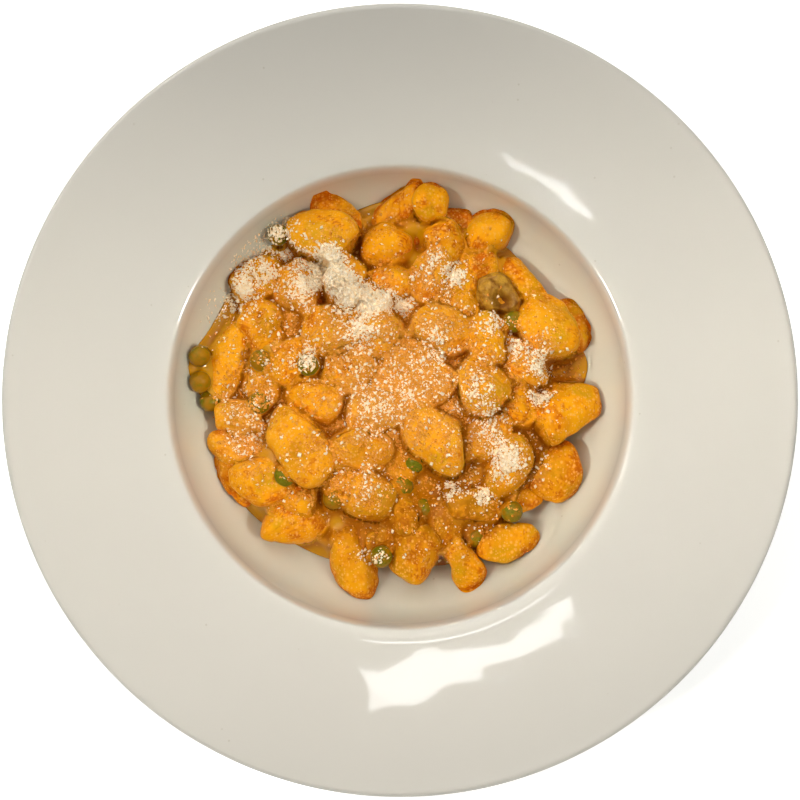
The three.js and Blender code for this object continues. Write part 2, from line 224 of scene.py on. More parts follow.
# %% [markdown]
# ## Light
# A big soft lamp with a small bright core, beyond the upper left of the bowl, gives the soft
# shade between the gnocchi. Three small lamps with grids light the left, right and near side
# more than the far side. What the glaze mirrors on the brim is a window overhead: one broad
# pane and two narrow ones. An all-round sky would be simpler, but it leaves no shade. The rest
# is a dim pale room, so that the sauce keeps its full colour.

# %% Lamps and room
def softbox(name, place, aim, size, strength, colour="#ffffff", turn=0, spread=180):
    """An area lamp of a width and depth in metres, turned about its own axis by degrees. Its
    strength is the brightness that its face shows, so its power is that times area and pi. A
    grid in front of it keeps its light within the angle of spread, in degrees."""
    lamp = bpy.data.lights.new(name, "AREA")
    lamp.shape, lamp.size, lamp.size_y = "RECTANGLE", *size
    lamp.energy = strength * math.pi * size[0] * size[1]
    lamp.color = linear(colour)[:3]
    lamp.spread = math.radians(spread)
    holder = bpy.data.objects.new(name, lamp)
    holder.location = place
    way = Vector(aim) - Vector(place)
    aimed = way.to_track_quat("-Z", "Y").to_matrix() @ Matrix.Rotation(math.radians(turn), 3, "Z")
    holder.rotation_euler = aimed.to_euler()
    bpy.context.collection.objects.link(holder)


softbox("key", (-0.80, 1.82, 2.24), (0, 0, 0.03), (3.6, 2.8), 1.58, "#fffaf2")
softbox("key_core", (-1.05, 1.68, 2.24), (0, 0, 0.03), (0.22, 0.18), 14.0, "#fffaf2")
# Each lamp with a grid: where it stands, what it is aimed at, its spread and its strength.
GRIDDED = [
    ((0.755, -0.275, 1.177), (-0.130, -0.011, 0.045), 12, 0.62),
    ((-0.755, -0.275, 1.177), (0.130, 0.011, 0.045), 12, 0.66),
    ((-0.755, 0.275, 1.177), (-0.055, -0.118, 0.045), 14, 0.12),
]
for number, (place, aim, spread, strength) in enumerate(GRIDDED):
    softbox(f"gridded_{number}", place, aim, (0.25, 0.25), strength, "#fff6ea", spread=spread)
softbox("window", (-0.038, 0.269, 1.5), (-0.038, 0.269, 0), (0.125, 0.042), 9.0, turn=20)
softbox("far_window", (-0.079, 0.005, 1.5), (-0.079, 0.005, 0), (0.050, 0.009), 10.0, turn=-37)
softbox("far_pane", (-0.095, 0.015, 1.5), (-0.095, 0.015, 0), (0.018, 0.016), 11.0, turn=-37)

room = bpy.data.worlds.new("pale_room")
room.use_nodes = True
sky = room.node_tree.nodes["Background"].inputs
sky["Color"].default_value = linear("#f8f9f4")
sky["Strength"].default_value = 0.30
bpy.context.scene.world = room
bpy.context.scene.view_settings.view_transform = "Standard"

# %% [markdown]
# The floor is the matt white top of a light table: it glows a little, so it stays white where
# the lamps don't reach. One square is enough, and a plain paint keeps the eye on the food.

# %% Matt white floor
def material(name):
    """An empty material: its tree, and the coordinates of the object in metres."""
    made = bpy.data.materials.new(name)
    made.use_nodes = True
    tree = made.node_tree
    tree.nodes.clear()
    return made, tree, add(tree, "TexCoord").node.outputs["Object"]


def finished(tree, **inputs):
    """Ends a material with a Principled shader with these inputs."""
    add(tree, "OutputMaterial", Surface=add(tree, "BsdfPrincipled", **inputs))
    print(len(tree.nodes), "nodes in this finish")


# The roller's stipple is about a millimetre: 900 waves to the metre.
table_paint, tree, at = material("matt_white_paint_rolled")
grain = add(tree, "TexNoise", Vector=at, Scale=900.0, Detail=2.0)
dents = add(tree, "Bump", Strength=0.1, Distance=0.0002, Height=grain)
finished(tree, Base_Color="#fdfdfd", Roughness=0.9, Normal=dents, Emission_Color="#ffffff",
         Emission_Strength=0.55)
FLOOR_HALF = 4.0
corners = [(x * FLOOR_HALF, y * FLOOR_HALF, 0) for x, y in ((-1, -1), (1, -1), (1, 1), (-1, 1))]
floor_mesh = bpy.data.meshes.new("floor")
floor_mesh.from_pydata(corners, [], [(0, 1, 2, 3)])
floor_mesh.materials.append(table_paint)
floor = bpy.data.objects.new("floor", floor_mesh)
bpy.context.collection.objects.link(floor)
print("floor", 2 * FLOOR_HALF, "m wide")

# %% [markdown]
# ## The bowl
# The bowl is thrown or jiggered, so it is a surface of revolution: a deep well with a soft
# edge, and a broad brim that rises to a rounded lip. Its outline is drawn once, as lines and
# bends of (radius, height), and carried round the axis.

# %% The bowl's outline
FLOOR_RADIUS, FLOOR_HEIGHT = 60.0, 8.0
WELL_RADIUS, WELL_EDGE = 88.0, 40.0
WALL_TOP = 87.3


def well_height(radius):
    """The ceramic inside the well: level, then a quarter of an ellipse up to the edge."""
    across = np.clip((radius - FLOOR_RADIUS) / (WELL_RADIUS - FLOOR_RADIUS), 0, 1)
    return WELL_EDGE - (WELL_EDGE - FLOOR_HEIGHT) * np.sqrt(1 - across**2)


def bend(start, control, end, steps):
    """A quadratic curve: it leaves the start and reaches the end in line with the control."""
    t = np.linspace(0, 1, steps)[:, None]
    start, control, end = map(np.array, (start, control, end))
    return (1 - t) ** 2 * start + 2 * t * (1 - t) * control + t**2 * end


def bowl_outline():
    """The foot ring, the outside, the lip, the brim, the soft edge and the well, in order."""
    round_under = np.radians(np.linspace(-75, -12, 40))
    belly = np.stack([60 + 33 * np.cos(round_under), 40 + 37 * np.sin(round_under)], 1)
    well = np.linspace(WALL_TOP, 0, 90)
    return np.concatenate([
        [[0, 2.8], [30, 2.8]],
        bend((54, 2.8), (55.2, 2.8), (55.6, 1.2), 6),
        bend((55.8, 0.5), (56, 0), (56.8, 0), 5),
        bend((61, 0), (62, 0), (62.1, 0.9), 6),
        bend((62.4, 2.6), (62.7, 3.4), (65.5, 3.8), 6),
        belly,
        bend((93.5, 35), (122, 39), (147.6, 48.1), 40),
        bend((148.1, 48.2), (150, 48.3), (150, 50.1), 9)[1:],
        bend((150, 50.1), (150, 52), (148.1, 52), 9)[1:],
        bend((148.1, 52), (119, 44.6), (95, 41.0), 60)[1:],
        bend((95, 41.0), (91.5, 40.5), (89.8, 39.8), 10)[1:],
        bend((89.8, 39.8), (88.1, 39.1), (WALL_TOP, well_height(WALL_TOP)), 20)[1:],
        np.stack([well, well_height(well)], 1)[1:],
    ])


outline = bowl_outline()
print(len(outline), "points; widest", outline[:, 0].max(), "highest", outline[:, 1].max())

# %% [markdown]
# A Screw modifier would turn the outline too. Rings of points do it in one step, and both ends
# close on one point.

# %% Turn the outline
def turned(outline, sides):
    """Carries an outline that starts and ends on the axis round it: each point becomes a ring
    of (radius cos, radius sin, height)."""
    turn = 2 * np.pi * np.arange(sides) / sides
    radius, level = outline[1:-1, 0, None], outline[1:-1, 1, None]
    rings = np.stack([radius * np.cos(turn), radius * np.sin(turn), level + 0 * turn], -1)
    poles = [[[0, 0, outline[i, 1]]] for i in (0, -1)]
    points = np.concatenate([poles[0], rings.reshape(-1, 3), poles[1]])
    return points, closed_faces(len(outline) - 2, sides)


BOWL_SIDES = 240
bowl_points, bowl_faces = turned(outline, BOWL_SIDES)
print(len(bowl_points), "points round the bowl")

# %% [markdown]
# Feldspar porcelain under a clear glaze: dipped, then fired, so the coat is smooth as glass
# and pools a little. Its colour is a warm white. The glaze mirrors lamps sharply with slightly
# wavy edges, because the clay under it was never quite even. Lower down, in the well, it is
# painted lighter and a little greener: painted light that makes up for the shade in the well and
# for the orange light the food throws on it. A few iron specks show as faint dots.

# %% Glazed porcelain
# In waves to the metre: clouds of 70 mm, specks 10 mm apart, and waves of 22 mm in the glaze.
porcelain, tree, at = material("porcelain_dipped_in_clear_glaze")
clouds = add(tree, "TexNoise", Vector=at, Scale=14.0, Detail=3.0)
level = add(tree, "SeparateXYZ", Vector=at).node.outputs["Z"]
# Painted light: below the brim the glaze is lighter and greener, making up for the well's shade and
# the orange light the food throws on it.
well_painted_light = add(tree, "MapRange", Value=level, From_Min=0.024, From_Max=0.0425, To_Min=1.0, To_Max=0.0)
specks = add(tree, "TexVoronoi", Vector=at, Scale=95.0)
speck = add(tree, "MapRange", Value=specks, From_Min=0.028, From_Max=0.045, To_Min=0.35,
            To_Max=0.0)
glazed = "#cbc9c2"
for mask, coat in ((clouds, "#d1cfc8"), (well_painted_light, "#d6d8c9"), (speck, "#a39a88")):
    glazed = add(tree, "Mix", COLOURS, i0=mask, i6=glazed, i7=coat)
waves = add(tree, "TexNoise", Vector=at, Scale=45.0, Detail=1.0)
wavy = add(tree, "Bump", Strength=0.22, Distance=0.0006, Height=waves)
finished(tree, Base_Color=glazed, Roughness=0.5, IOR=1.5, Coat_Weight=1.0,
         Coat_Roughness=0.03, Coat_IOR=1.5, Normal=wavy, Coat_Normal=wavy)
make("porcelain_bowl", bowl_points, bowl_faces, porcelain, "porcelain", ["bowl"])

# %% [markdown]
# ## Where every gnocco lies
# A gnocco is a short pillow of potato dough, about 24 by 17 mm. Each is listed with its place,
# its heading, its length and width and how deep its orange is. They are set down one after
# another on a low core of buried ones, so each rests on those before it and takes its height
# and its tilt from them. A physics simulation could drop them too, but then nobody could say
# which lies where.

# %% The gnocchi that show
# x, y, heading in degrees, length, width, and depth of colour from 0 yellow to 1 deep orange.
FAR_SIDE = [
    (-24, 73, -25, 25, 14, 0.15), (-1, 76, 28, 26, 15, 0.55), (13, 77, -55, 17, 13, 0.30),
    (-5, 62, 90, 18, 17, 0.40), (35, 66, 10, 21, 17, 0.15), (-31, 64, -10, 30, 19, 0.25),
    (18, 61, -50, 22, 16, 0.60),
]
LEFT_SIDE = [
    (-54, 8, 80, 22, 14, 0.45), (-66, -20, -60, 22, 15, 0.50), (-68, 15, 82, 33, 16, 0.35),
    (-66, -7, -10, 18, 12, 0.40), (-58, 48, 18, 25, 17, 0.35), (-55, 30, -50, 21, 18, 0.50),
    (-53, -17, -55, 19, 10, 0.30), (-54, -33, -35, 24, 19, 0.40),
]
RIGHT_SIDE = [
    (48, -40, 15, 17, 11, 0.50), (49, 47, -50, 22, 14, 0.50), (68.5, 29, -62, 27, 12, 0.30),
    (63, -28, 60, 26, 17, 0.70), (45, -1, -70, 21, 15, 0.60), (58, 28, -55, 29, 20, 0.35),
    (65, -5, 50, 30, 21, 0.60),
]
NEAR_SIDE = [
    (17, -52, 60, 17, 13, 0.60), (-43, -50, -12, 26, 16, 0.70), (-19, -65, -62, 27, 17, 0.55),
    (5, -62, 60, 25, 19, 0.70), (25, -64, -62, 24, 13, 0.60), (42, -56, 30, 24, 16, 0.50),
    (-10, -58, -75, 14, 10, 0.60),
]
MIDDLE = [
    (-20, 10, 20, 24, 16, 0.60), (33, 53, -30, 16, 14, 0.65), (-4, 45, 0, 18, 15, 0.25),
    (-12, 36, -30, 20, 14, 0.50), (-40, 43, -75, 24, 17, 0.45), (-43, 14, 60, 18, 15, 0.45),
    (23, 36, 40, 16, 13, 0.40), (12, 48.5, 75, 23, 14, 0.60), (-21, 46, 60, 22, 15, 0.50),
    (-38, -39, 65, 16, 12, 0.50), (-26, -31, -20, 20, 14, 0.50), (1, -45, -80, 17, 11, 0.50),
    (28, -41, -3, 25, 14, 0.35), (5, 15, 20, 20, 15, 0.60), (-32, -1, -25, 23, 16, 0.50),
    (12, 4, 30, 24, 16, 0.50), (33, -16, 40, 22, 15, 0.50), (48, 14, -50, 23, 16, 0.40),
    (-9, 25, 60, 20, 15, 0.40), (-27, 25, -20, 24, 18, 0.50), (17, 25, -20, 23, 17, 0.40),
    (32, 4, -45, 24, 18, 0.40), (-9, -5, 25, 25, 17, 0.45), (-15, -21, -35, 24, 17, 0.50),
    (-12, -40, -20, 22, 18, 0.40), (43, -28, 75, 25, 16, 0.40), (34, 22, 85, 24, 15, 0.20),
    (-39, -18, -48, 32, 21, 0.25), (14, -16, -35, 28, 21, 0.30),
]
# Small ones that lie deep between the others and show only in part.
TUCKED_IN = [
    (22, 70, -20, 18, 13, 0.55), (8, 69, 15, 20, 14, 0.80), (-65, -31, -62, 22, 13, 0.60),
    (-3, -54, 30, 18, 13, 0.60), (24, 46, 0, 17, 14, 0.60),
]
GROUPS = dict(far_side=FAR_SIDE, left_side=LEFT_SIDE, right_side=RIGHT_SIDE,
              near_side=NEAR_SIDE, middle=MIDDLE, tucked_in=TUCKED_IN)
print(sum(map(len, GROUPS.values())), "gnocchi")

# %% [markdown]
# The pool and the core are plain formulas of where a point lies. The pool is level, climbs the
# wall at its shore, and reaches further on one side, as sauce does in a bowl that was tipped a
# little on its way to the table.

# %% The pool, the core and the settling rule
SAUCE_LEVEL = 12.5
SHORE_START = 0.84
CORE_RADIUS, CORE_RISE = 70.0, 13.0
COAT, SINK, STEEPEST = 0.5, 3.8, 0.5
THICKNESS_SHARE, BLUNTNESS, SQUARENESS = 0.86, 2.8, 0.85


def shore(bearing):
    """The pool's outline: a circle of 73 mm, a lean of 7 mm towards one side, waves, and two
    bulges: 6 mm round the three peas at its edge, and 4 mm between gnocchi across from them."""
    lean = 7 * np.cos(bearing - math.radians(125))
    for middle, rise in ((172, 6.0), (12, 4.0)):
        lean = lean + rise * np.exp(-(((bearing - math.radians(middle)) / math.radians(9)) ** 2))
    return 73 + lean + 1.6 * np.sin(5 * bearing + 1) + 0.8 * np.sin(9 * bearing)


def pool_height(radius, bearing):
    """The sauce's level, drawn to 1 mm above the ceramic at the shore by a square law."""
    edge = shore(bearing)
    share = np.clip((radius / edge - SHORE_START) / (1 - SHORE_START), 0, 1)
    return SAUCE_LEVEL + (well_height(edge) + 1 - SAUCE_LEVEL) * share**2


def core_height(radius):
    """The buried gnocchi: a low dome that falls with the square of the radius."""
    return SAUCE_LEVEL + CORE_RISE * (1 - (radius / CORE_RADIUS) ** 2)


def top_of(piece, x, y):
    """The top of a settled gnocco over a point: a blunt ellipsoid on a tilted plane."""
    along, across = rotated(x - piece["x"], y - piece["y"], -piece["turn"])
    along /= piece["a"]
    inside = 1 - abs(along) ** BLUNTNESS - (across / piece["b"]) ** 2
    if inside <= 0:
        return -math.inf
    return piece["z"] + piece["rise"] * along + piece["c"] * math.sqrt(inside)


def settle(placed, spec):
    """Sets a gnocco down: its back, middle and front each find their height on what is there,
    less what it sinks in; the ends give its tilt, and the higher of the ends' mean and the
    middle gives its height."""
    x, y, heading, length, width, tint = spec
    half, side = length / 2 + COAT, width / 2 + COAT
    piece = dict(x=x, y=y, turn=math.radians(heading), a=half, b=side, tint=tint,
                 c=side * THICKNESS_SHARE)

    def height_at(along):
        heights = []
        for across in (-0.5, 0, 0.5):
            dx, dy = rotated(along * half, across * side, piece["turn"])
            away = math.hypot(x + dx, y + dy)
            under = max([float(well_height(away)), core_height(away),
                         *(top_of(other, x + dx, y + dy) for other in placed)])
            hang = piece["c"] * math.sqrt(1 - abs(along) ** BLUNTNESS - across**2)
            heights.append(under + hang - SINK)
        return max(heights)

    back, middle, front = map(height_at, (-0.6, 0, 0.6))
    piece["rise"] = float(np.clip((front - back) / 1.2, -STEEPEST * half, STEEPEST * half))
    piece["z"] = max((front + back) / 2, middle)
    return piece


settled, groups = [], {}
for group, specs in GROUPS.items():
    for spec in specs:
        piece = settle(settled if group != "tucked_in" else [], spec)
        piece["index"] = len(settled)
        settled.append(piece)
        groups.setdefault(group, []).append(piece)
highest = max(settled, key=lambda piece: piece["z"])
print("the highest gnocco's middle is at", round(highest["z"], 1), "mm")

# %% [markdown]
# ## The form of a gnocco
# The dough is rolled into a rope, cut and pressed with the thumb. That gives blunt ends, a
# soft square section, a waist, a slight bend and a dent on top. Boiling swells it, and thick
# sauce on it leaves lumps and runs, so random lumps of three sizes are added along the way out.
# They could be sculpted one by one. A formula with a few traits of each gnocco's own makes all
# of them alike but none the same.

# %% Gnocchi as surfaces
ROWS, SIDES = 46, 60
FLAT_EDGE = 0.07
CLEAR = 0.5


def uneven(piece, trait):
    """A repeatable number from -1 to 1 for a piece and one of its traits."""
    return math.sin(piece * 12.9898 + trait * 78.233)


def flattened(unit, piece):
    """Presses flats on a form about 1 in radius. Beyond each of seven planes, four fifths of
    what stands out is taken back, with an edge rounded as the logarithm of 1 + e^x."""
    i = piece["index"]
    for k in range(7):
        bearing, rise = 2.4 * k + 3 * uneven(i, 20 + k), 0.35 + 0.5 * uneven(i, 40 + k)
        way = np.array([math.cos(bearing) * math.cos(rise), math.sin(bearing) * math.cos(rise),
                        math.sin(rise)])
        over = (unit @ way - 0.80 - 0.08 * uneven(i, 60 + k)) / FLAT_EDGE
        unit = unit - 0.8 * FLAT_EDGE * np.log1p(np.exp(over))[:, None] * way
    return 1.07 * unit


def gnocco(piece):
    """Points of one gnocco in mm. Along its length the girth falls as a 2.8th power and a
    waist is taken out; round it the cosine and the sine are drawn towards a square. Seen from
    above, the outline swells and shrinks by waves of two, three and five to the turn."""
    i = piece["index"]
    waist, sway, thumb = 0.03 + 0.04 * uneven(i, 1), 0.1 * uneven(i, 2), 0.16 + 0.16 * uneven(i, 3)
    slope, turn = angles(ROWS, SIDES)
    round_ones = np.stack([np.cos(slope), np.cos(turn), np.sin(turn)])
    along, side, up = np.sign(round_ones) * np.abs(round_ones) ** SQUARENESS
    middle = np.exp(-((along / 0.4) ** 2))
    girth = np.sqrt(np.clip(1 - np.abs(along) ** BLUNTNESS, 0, 1)) * (1 - waist * middle)
    side, up = girth * side, girth * up
    dent = np.where(up > 0, thumb * middle * np.exp(-((side / 0.5) ** 2)), 0)
    bearing = np.arctan2(side, along)
    waves = sum(height * np.sin(count * bearing + 3 * uneven(i, 10 + count))
                for count, height in ((2, 0.035), (3, 0.04), (5, 0.012)))
    waves *= np.clip(np.hypot(along, side), 0, 1)
    unit = np.stack([along * (1 + waves), side * (1 + waves) + sway * (along**2 - 0.3),
                     up * (1 - dent)], 1)
    return flattened(unit, piece) * [piece["a"], piece["b"], piece["c"]]


def swell(local, piece):
    """Moves points out along the way from the gnocco's long axis: lumps of 11, 4 and 1.8 mm,
    and creases, which are where a broad random field crosses zero."""
    spine = local * [0.55, 0, 0]
    out = local - spine
    out /= np.maximum(np.linalg.norm(out, axis=1, keepdims=True), 1e-6)
    field = local + 97.0 * piece["index"]
    crease = np.exp(-((lumps(field, 11.0, 4) / 0.12) ** 2))
    size = (0.90 * lumps(field, 11.0, 1) + 0.30 * lumps(field, 4.0, 2)
            + 0.09 * lumps(field, 1.8, 3) - 0.6 * crease)
    return local + out * size[:, None]


def laid(local, piece):
    """Tilts a gnocco by its rise, turns it to its heading and moves it to its place."""
    x, z = rotated(local[:, 0], local[:, 2], math.atan2(piece["rise"], piece["a"]))
    x, y = rotated(x, local[:, 1], piece["turn"])
    return np.stack([piece["x"] + x, piece["y"] + y, piece["z"] + z], 1)


# Dimples and ridges where a finger or a fork pressed: x, y, radius, depth, all in mm.
PRESSED = [
    (-55.5, 33.5, 2.3, 2.6), (-57.5, 47, 3.6, 1.9), (-52.5, 48.5, 3.2, 1.5),
    (32.0, 53, 2.6, 1.5), (30.0, 69, 2.5, -1.2), (36.0, 65, 2.2, 1.3),
    (21.5, -5, 2.4, 1.9), (24.0, -9.5, 2.6, 1.8), (20.5, -12, 3.0, -0.9),
    (49.5, 38, 2.0, 1.0), (50.5, 34, 2.2, 1.6), (52, 29.5, 2.2, 1.6), (54, 25, 2.0, 1.0),
    (-20.0, 69.5, 2.8, 1.0),
]


def pressed(points, middle):
    """Lowers what is above a gnocco's middle by a bell of each press's depth and radius."""
    points = points.copy()
    for x, y, radius, depth in PRESSED:
        reach = ((points[:, 0] - x) ** 2 + (points[:, 1] - y) ** 2) / radius**2
        points[:, 2] -= np.where(points[:, 2] > middle, depth * np.exp(-reach), 0)
    return points


def cooked(piece):
    """A gnocco as it lies in the bowl, kept clear of the ceramic."""
    points = pressed(laid(swell(gnocco(piece), piece), piece), piece["z"])
    radius = np.hypot(points[:, 0], points[:, 1])
    inward = np.minimum(1, (WELL_RADIUS - 3 * CLEAR) / radius)
    points[:, :2] *= inward[:, None]
    points[:, 2] = np.maximum(points[:, 2], well_height(radius * inward) + CLEAR)
    return points


forms = {group: np.array([cooked(piece) for piece in pieces]) for group, pieces in groups.items()}
print({group: form.shape for group, form in forms.items()})

# %% [markdown]
# ## A map of the heap
# Sauce gathers between the gnocchi, and cheese falls on top of them, so both need to know how
# high the heap is at every point. Rays shot down on the meshes would tell it. A map is quicker,
# and it can be blurred and rolled over: a square grid where every point of every surface raises
# its cell, and empty cells take the value of their neighbours.

# %% The height map
PITCH = 0.4
MAP_HALF = 88.0
CELLS = int(2 * MAP_HALF / PITCH) + 1
line = np.linspace(-MAP_HALF, MAP_HALF, CELLS)
map_x, map_y = np.meshgrid(line, line, indexing="ij")
map_at = np.stack([map_x, map_y], -1)
map_radius, map_bearing = np.hypot(map_x, map_y), np.arctan2(map_y, map_x)


def raised(grid, points):
    """The map with every cell at least as high as the points over it."""
    cells = np.clip(np.rint((points[:, :2] + MAP_HALF) / PITCH).astype(int), 0, CELLS - 1)
    grid = grid.copy()
    np.maximum.at(grid, (cells[:, 0], cells[:, 1]), points[:, 2])
    return grid


def rolled_over(grid, radius, keep=np.maximum, drop=0.0):
    """The highest (or lowest) value within a radius of each cell. With a drop, values further
    off count for less, by the square of their distance, like a ball rolled over the map."""
    reach = int(radius / PITCH)
    result = grid.copy()
    for i, j in itertools.product(range(-reach, reach + 1), repeat=2):
        away = math.hypot(i, j) * PITCH
        if 0 < away <= radius:
            fall = drop * away**2 * (-1 if keep is np.maximum else 1)
            result = keep(result, np.roll(grid, (i, j), (0, 1)) + fall)
    return result


def read(grid, x, y):
    """The map between its cells: the four around a point, by how near each is."""
    u, v = (np.clip((w + MAP_HALF) / PITCH, 0, CELLS - 1.001) for w in (x, y))
    i, j = u.astype(int), v.astype(int)
    u, v = u - i, v - j
    near = grid[i, j] * (1 - v) + grid[i, j + 1] * v
    far = grid[i + 1, j] * (1 - v) + grid[i + 1, j + 1] * v
    return near * (1 - u) + far * u


def blurred(grid, radius):
    """The map averaged by a bell of a radius in mm: its Fourier transform times another bell."""
    waves = np.fft.fftfreq(CELLS, PITCH)
    bell = np.exp(-2 * (np.pi * radius) ** 2 * (waves[:, None] ** 2 + waves**2))
    return np.fft.ifft2(np.fft.fft2(grid) * bell).real


dish = well_height(map_radius)
pool = np.where(map_radius < shore(map_bearing), pool_height(map_radius, map_bearing), dish)
heap_points = np.concatenate([form.reshape(-1, 3) for form in forms.values()])
heap_only = raised(np.full(dish.shape, -1.0), heap_points)
heap_map = np.where(heap_only > 0, heap_only, rolled_over(heap_only, 0.6))
top_map = np.maximum(np.maximum(pool, core_height(map_radius)), heap_map)
# How far each place stands above, or lies below, what is around it.
SURROUNDINGS = 4.0
standing = top_map - blurred(top_map, SURROUNDINGS)
print("map", top_map.shape, "highest", round(float(top_map.max()), 1), "mm")

# %% [markdown]
# ## Peas
# Cooked peas are 8 to 9 mm across. Their skin has come loose and wrinkled, and each has a
# shallow dimple. They lie where the model has them, and are a little lumpy with sauce. Seen
# from above a plain ball with bump would nearly do, but real wrinkles also break its outline.

# %% Peas as surfaces
PEA_ROWS, PEA_SIDES = 30, 40
PEA_RADIUS = 4.3


def pea(centre, index):
    """A ball with a dimple on one side and wrinkles: the radius is changed by a narrow bell
    and by fine lumps stretched along one way."""
    slope, turn = angles(PEA_ROWS, PEA_SIDES)
    way = np.stack([np.sin(slope) * np.cos(turn), np.sin(slope) * np.sin(turn), np.cos(slope)], 1)
    hollow = np.array([uneven(index, 4), uneven(index, 5), 0.8])
    facing = way @ (hollow / np.linalg.norm(hollow))
    field = way * PEA_RADIUS + 31.0 * index
    size = (1 + 0.035 * lumps(field, 3.0, 5) + 0.030 * lumps(field * [1, 2, 1], 1.5, 6)
            - 0.10 * np.exp(-((1 - facing) / 0.06) ** 2))
    return centre + way * size[:, None] * PEA_RADIUS * [1, 1, 0.96]


def node_box(node):
    """The middle and the half size of a node of the model, in mm."""
    low, high = (np.array(corner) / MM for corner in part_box(node))
    return (low + high) / 2, (high - low) / 2


pea_nodes = sorted(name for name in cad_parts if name.startswith("pea_"))
peas = {name: pea(node_box(name)[0], i) for i, name in enumerate(pea_nodes)}
print(len(peas), "peas")

# %% [markdown]
# ## The mushroom
# A slice of brown mushroom cap lies gill side down: a low dome with a rolled edge and a hollow
# where it has shrunk in the pan. It is the pea's way again, with other numbers: a ball drawn
# flat, with lobes, a bell taken out and random lumps.

# %% Mushroom as a surface
CAP_ROWS, CAP_SIDES = 60, 84
CAP_LENGTH, CAP_WIDTH, CAP_DOME, CAP_UNDERSIDE = 9.5, 8.0, 7.5, 3.75
CAP_HEADING = math.radians(-35)


def mushroom_cap():
    """A flat dome, longer one way, with three lobes, a hollow off its middle, and lumps."""
    middle, half = node_box("mushroom")
    slope, turn = angles(CAP_ROWS, CAP_SIDES)
    lobes = 1 + 0.08 * np.cos(3 * turn)
    x, y = np.sin(slope) * np.cos(turn) * lobes, np.sin(slope) * np.sin(turn) * lobes
    up = np.cos(slope)
    local = np.stack([x * CAP_LENGTH, y * CAP_WIDTH,
                      up * np.where(up < 0, CAP_UNDERSIDE, CAP_DOME)], 1)
    hollow = np.exp(-((x - 0.35) ** 2 + (y + 0.15) ** 2) / 0.16)
    local[:, 2] -= np.where(up > 0, 4.8 * hollow, 0)
    local[:, 2] += 0.5 * np.where(up > 0, np.exp(-(((np.hypot(x, y) - 0.8) / 0.12) ** 2)), 0)
    local += (local / 9) * (1.3 * lumps(local, 4.5, 8) + 0.5 * lumps(local, 1.6, 9))[:, None]
    x, y = rotated(local[:, 0], local[:, 1], CAP_HEADING)
    return np.stack([x, y, local[:, 2]], 1) + middle + [0, 0, CAP_UNDERSIDE - half[2]]


mushroom = mushroom_cap()
print("mushroom from", mushroom.min(0).round(1), "to", mushroom.max(0).round(1))

# %% [markdown]
# ## Grated cheese
# Hard cheese off a fine grater falls in small crumbs and short shreds, 0.5 to 2 mm long. It
# lies in drifts. Where it is thin it has warmed and half melted into the sauce, and turned
# peach; where it is thick it has stayed dry and pale cream. A map of how thick it lies is the
# sum of round drifts, broken up by the random field. Two more maps of the same kind say where
# oil stands in small pools, and where the dough and the sauce are a darker brown. Painting
# these maps by hand would do as well; lists of round spots are easier to read and to change.

# %% How thick the cheese lies
# x, y, radius in mm, then how much is dry and how much has half melted.
CHEESE_DRIFTS = [
    (-28, 51, 4.2, 4.2, 0.3), (-26, 46, 4.6, 3.2, 0.4), (-45, 60, 3.5, 0.35, 0.3),
    (-38, 55, 4, 0.2, 0.5), (-20, 40, 4.6, 2.4, 0.4), (-12, 37.5, 3.6, 1.4, 0.4),
    (-5, 37, 3.0, 0.9, 0.3), (1, 36, 2.8, 0.6, 0.3), (-15, 26, 5, 0.3, 0.4), (14, 54, 4.5, 0.1, 1.1),
    (21, 49, 3.5, 0.5, 0.3), (14, 18, 5, 0.15, 0.5), (9, 9, 6, 0.03, 0.6), (-12, -5, 8, 0.08, 0.7),
    (2, 1, 7, 0.05, 0.6), (29, 2, 6, 0.12, 0.6), (34, -8, 3.5, 0.2, 0.4), (39, -18, 3.5, 0.15, 0.4),
    (41, -26, 4.5, 0.5, 0.3), (20, -36, 3.5, 0.35, 0.2), (32, -38, 3, 0.35, 0.2),
    (46, 19, 4, 0.2, 0.4), (55, 12, 4, 0.6, 0.4), (55, 1, 3, 0.6, 0.2), (-50, 67, 6, 0.7, 0),
    (-62, 58, 6, 0.3, 0), (-64, 60, 9, 0.12, 0), (-53, 50, 4, 0.25, 0.2), (-62, 42, 4.5, 0.5, 0.1),
    (-74, 39, 7, 0.1, 0), (-37, 15, 4, 0.4, 0.2), (-38, 45, 5, 0.3, 0.5), (36, 31, 4, 0.3, 0.2),
    (-11, -66, 4, 0.2, 0.2), (36, -10, 9, 0.03, 0.5), (25, -30, 12, 0.01, 0.3),
    (-38, 43, 9, 0.03, 0.6), (12, 47, 8, 0.03, 0.8), (18, 29, 9, 0.03, 0.8), (51, 16, 9, 0.02, 0.9),
    (-8, -6, 15, 0.01, 1.1), (17, 5, 17, 0.012, 0.9), (-13, -33, 8, 0.03, 0.6),
    (-62, -5, 14, 0.02, 0.6), (-19, 27, 14, 0.02, 1.0), (-63, -17, 13, 0.02, 0.6),
    (50, -25, 10, 0.03, 0.3), (-30, -27, 16, 0.006, 0.4), (0, 13, 22, 0.01, 0.7),
    (5, -59, 20, 0.005, 0.12), (-40, 33, 22, 0.02, 0.3), (45, -52, 16, 0.01, 0.12),
    (52, 31, 18, 0.01, 0.12), (-30, 65, 16, 0, 0.08),
]
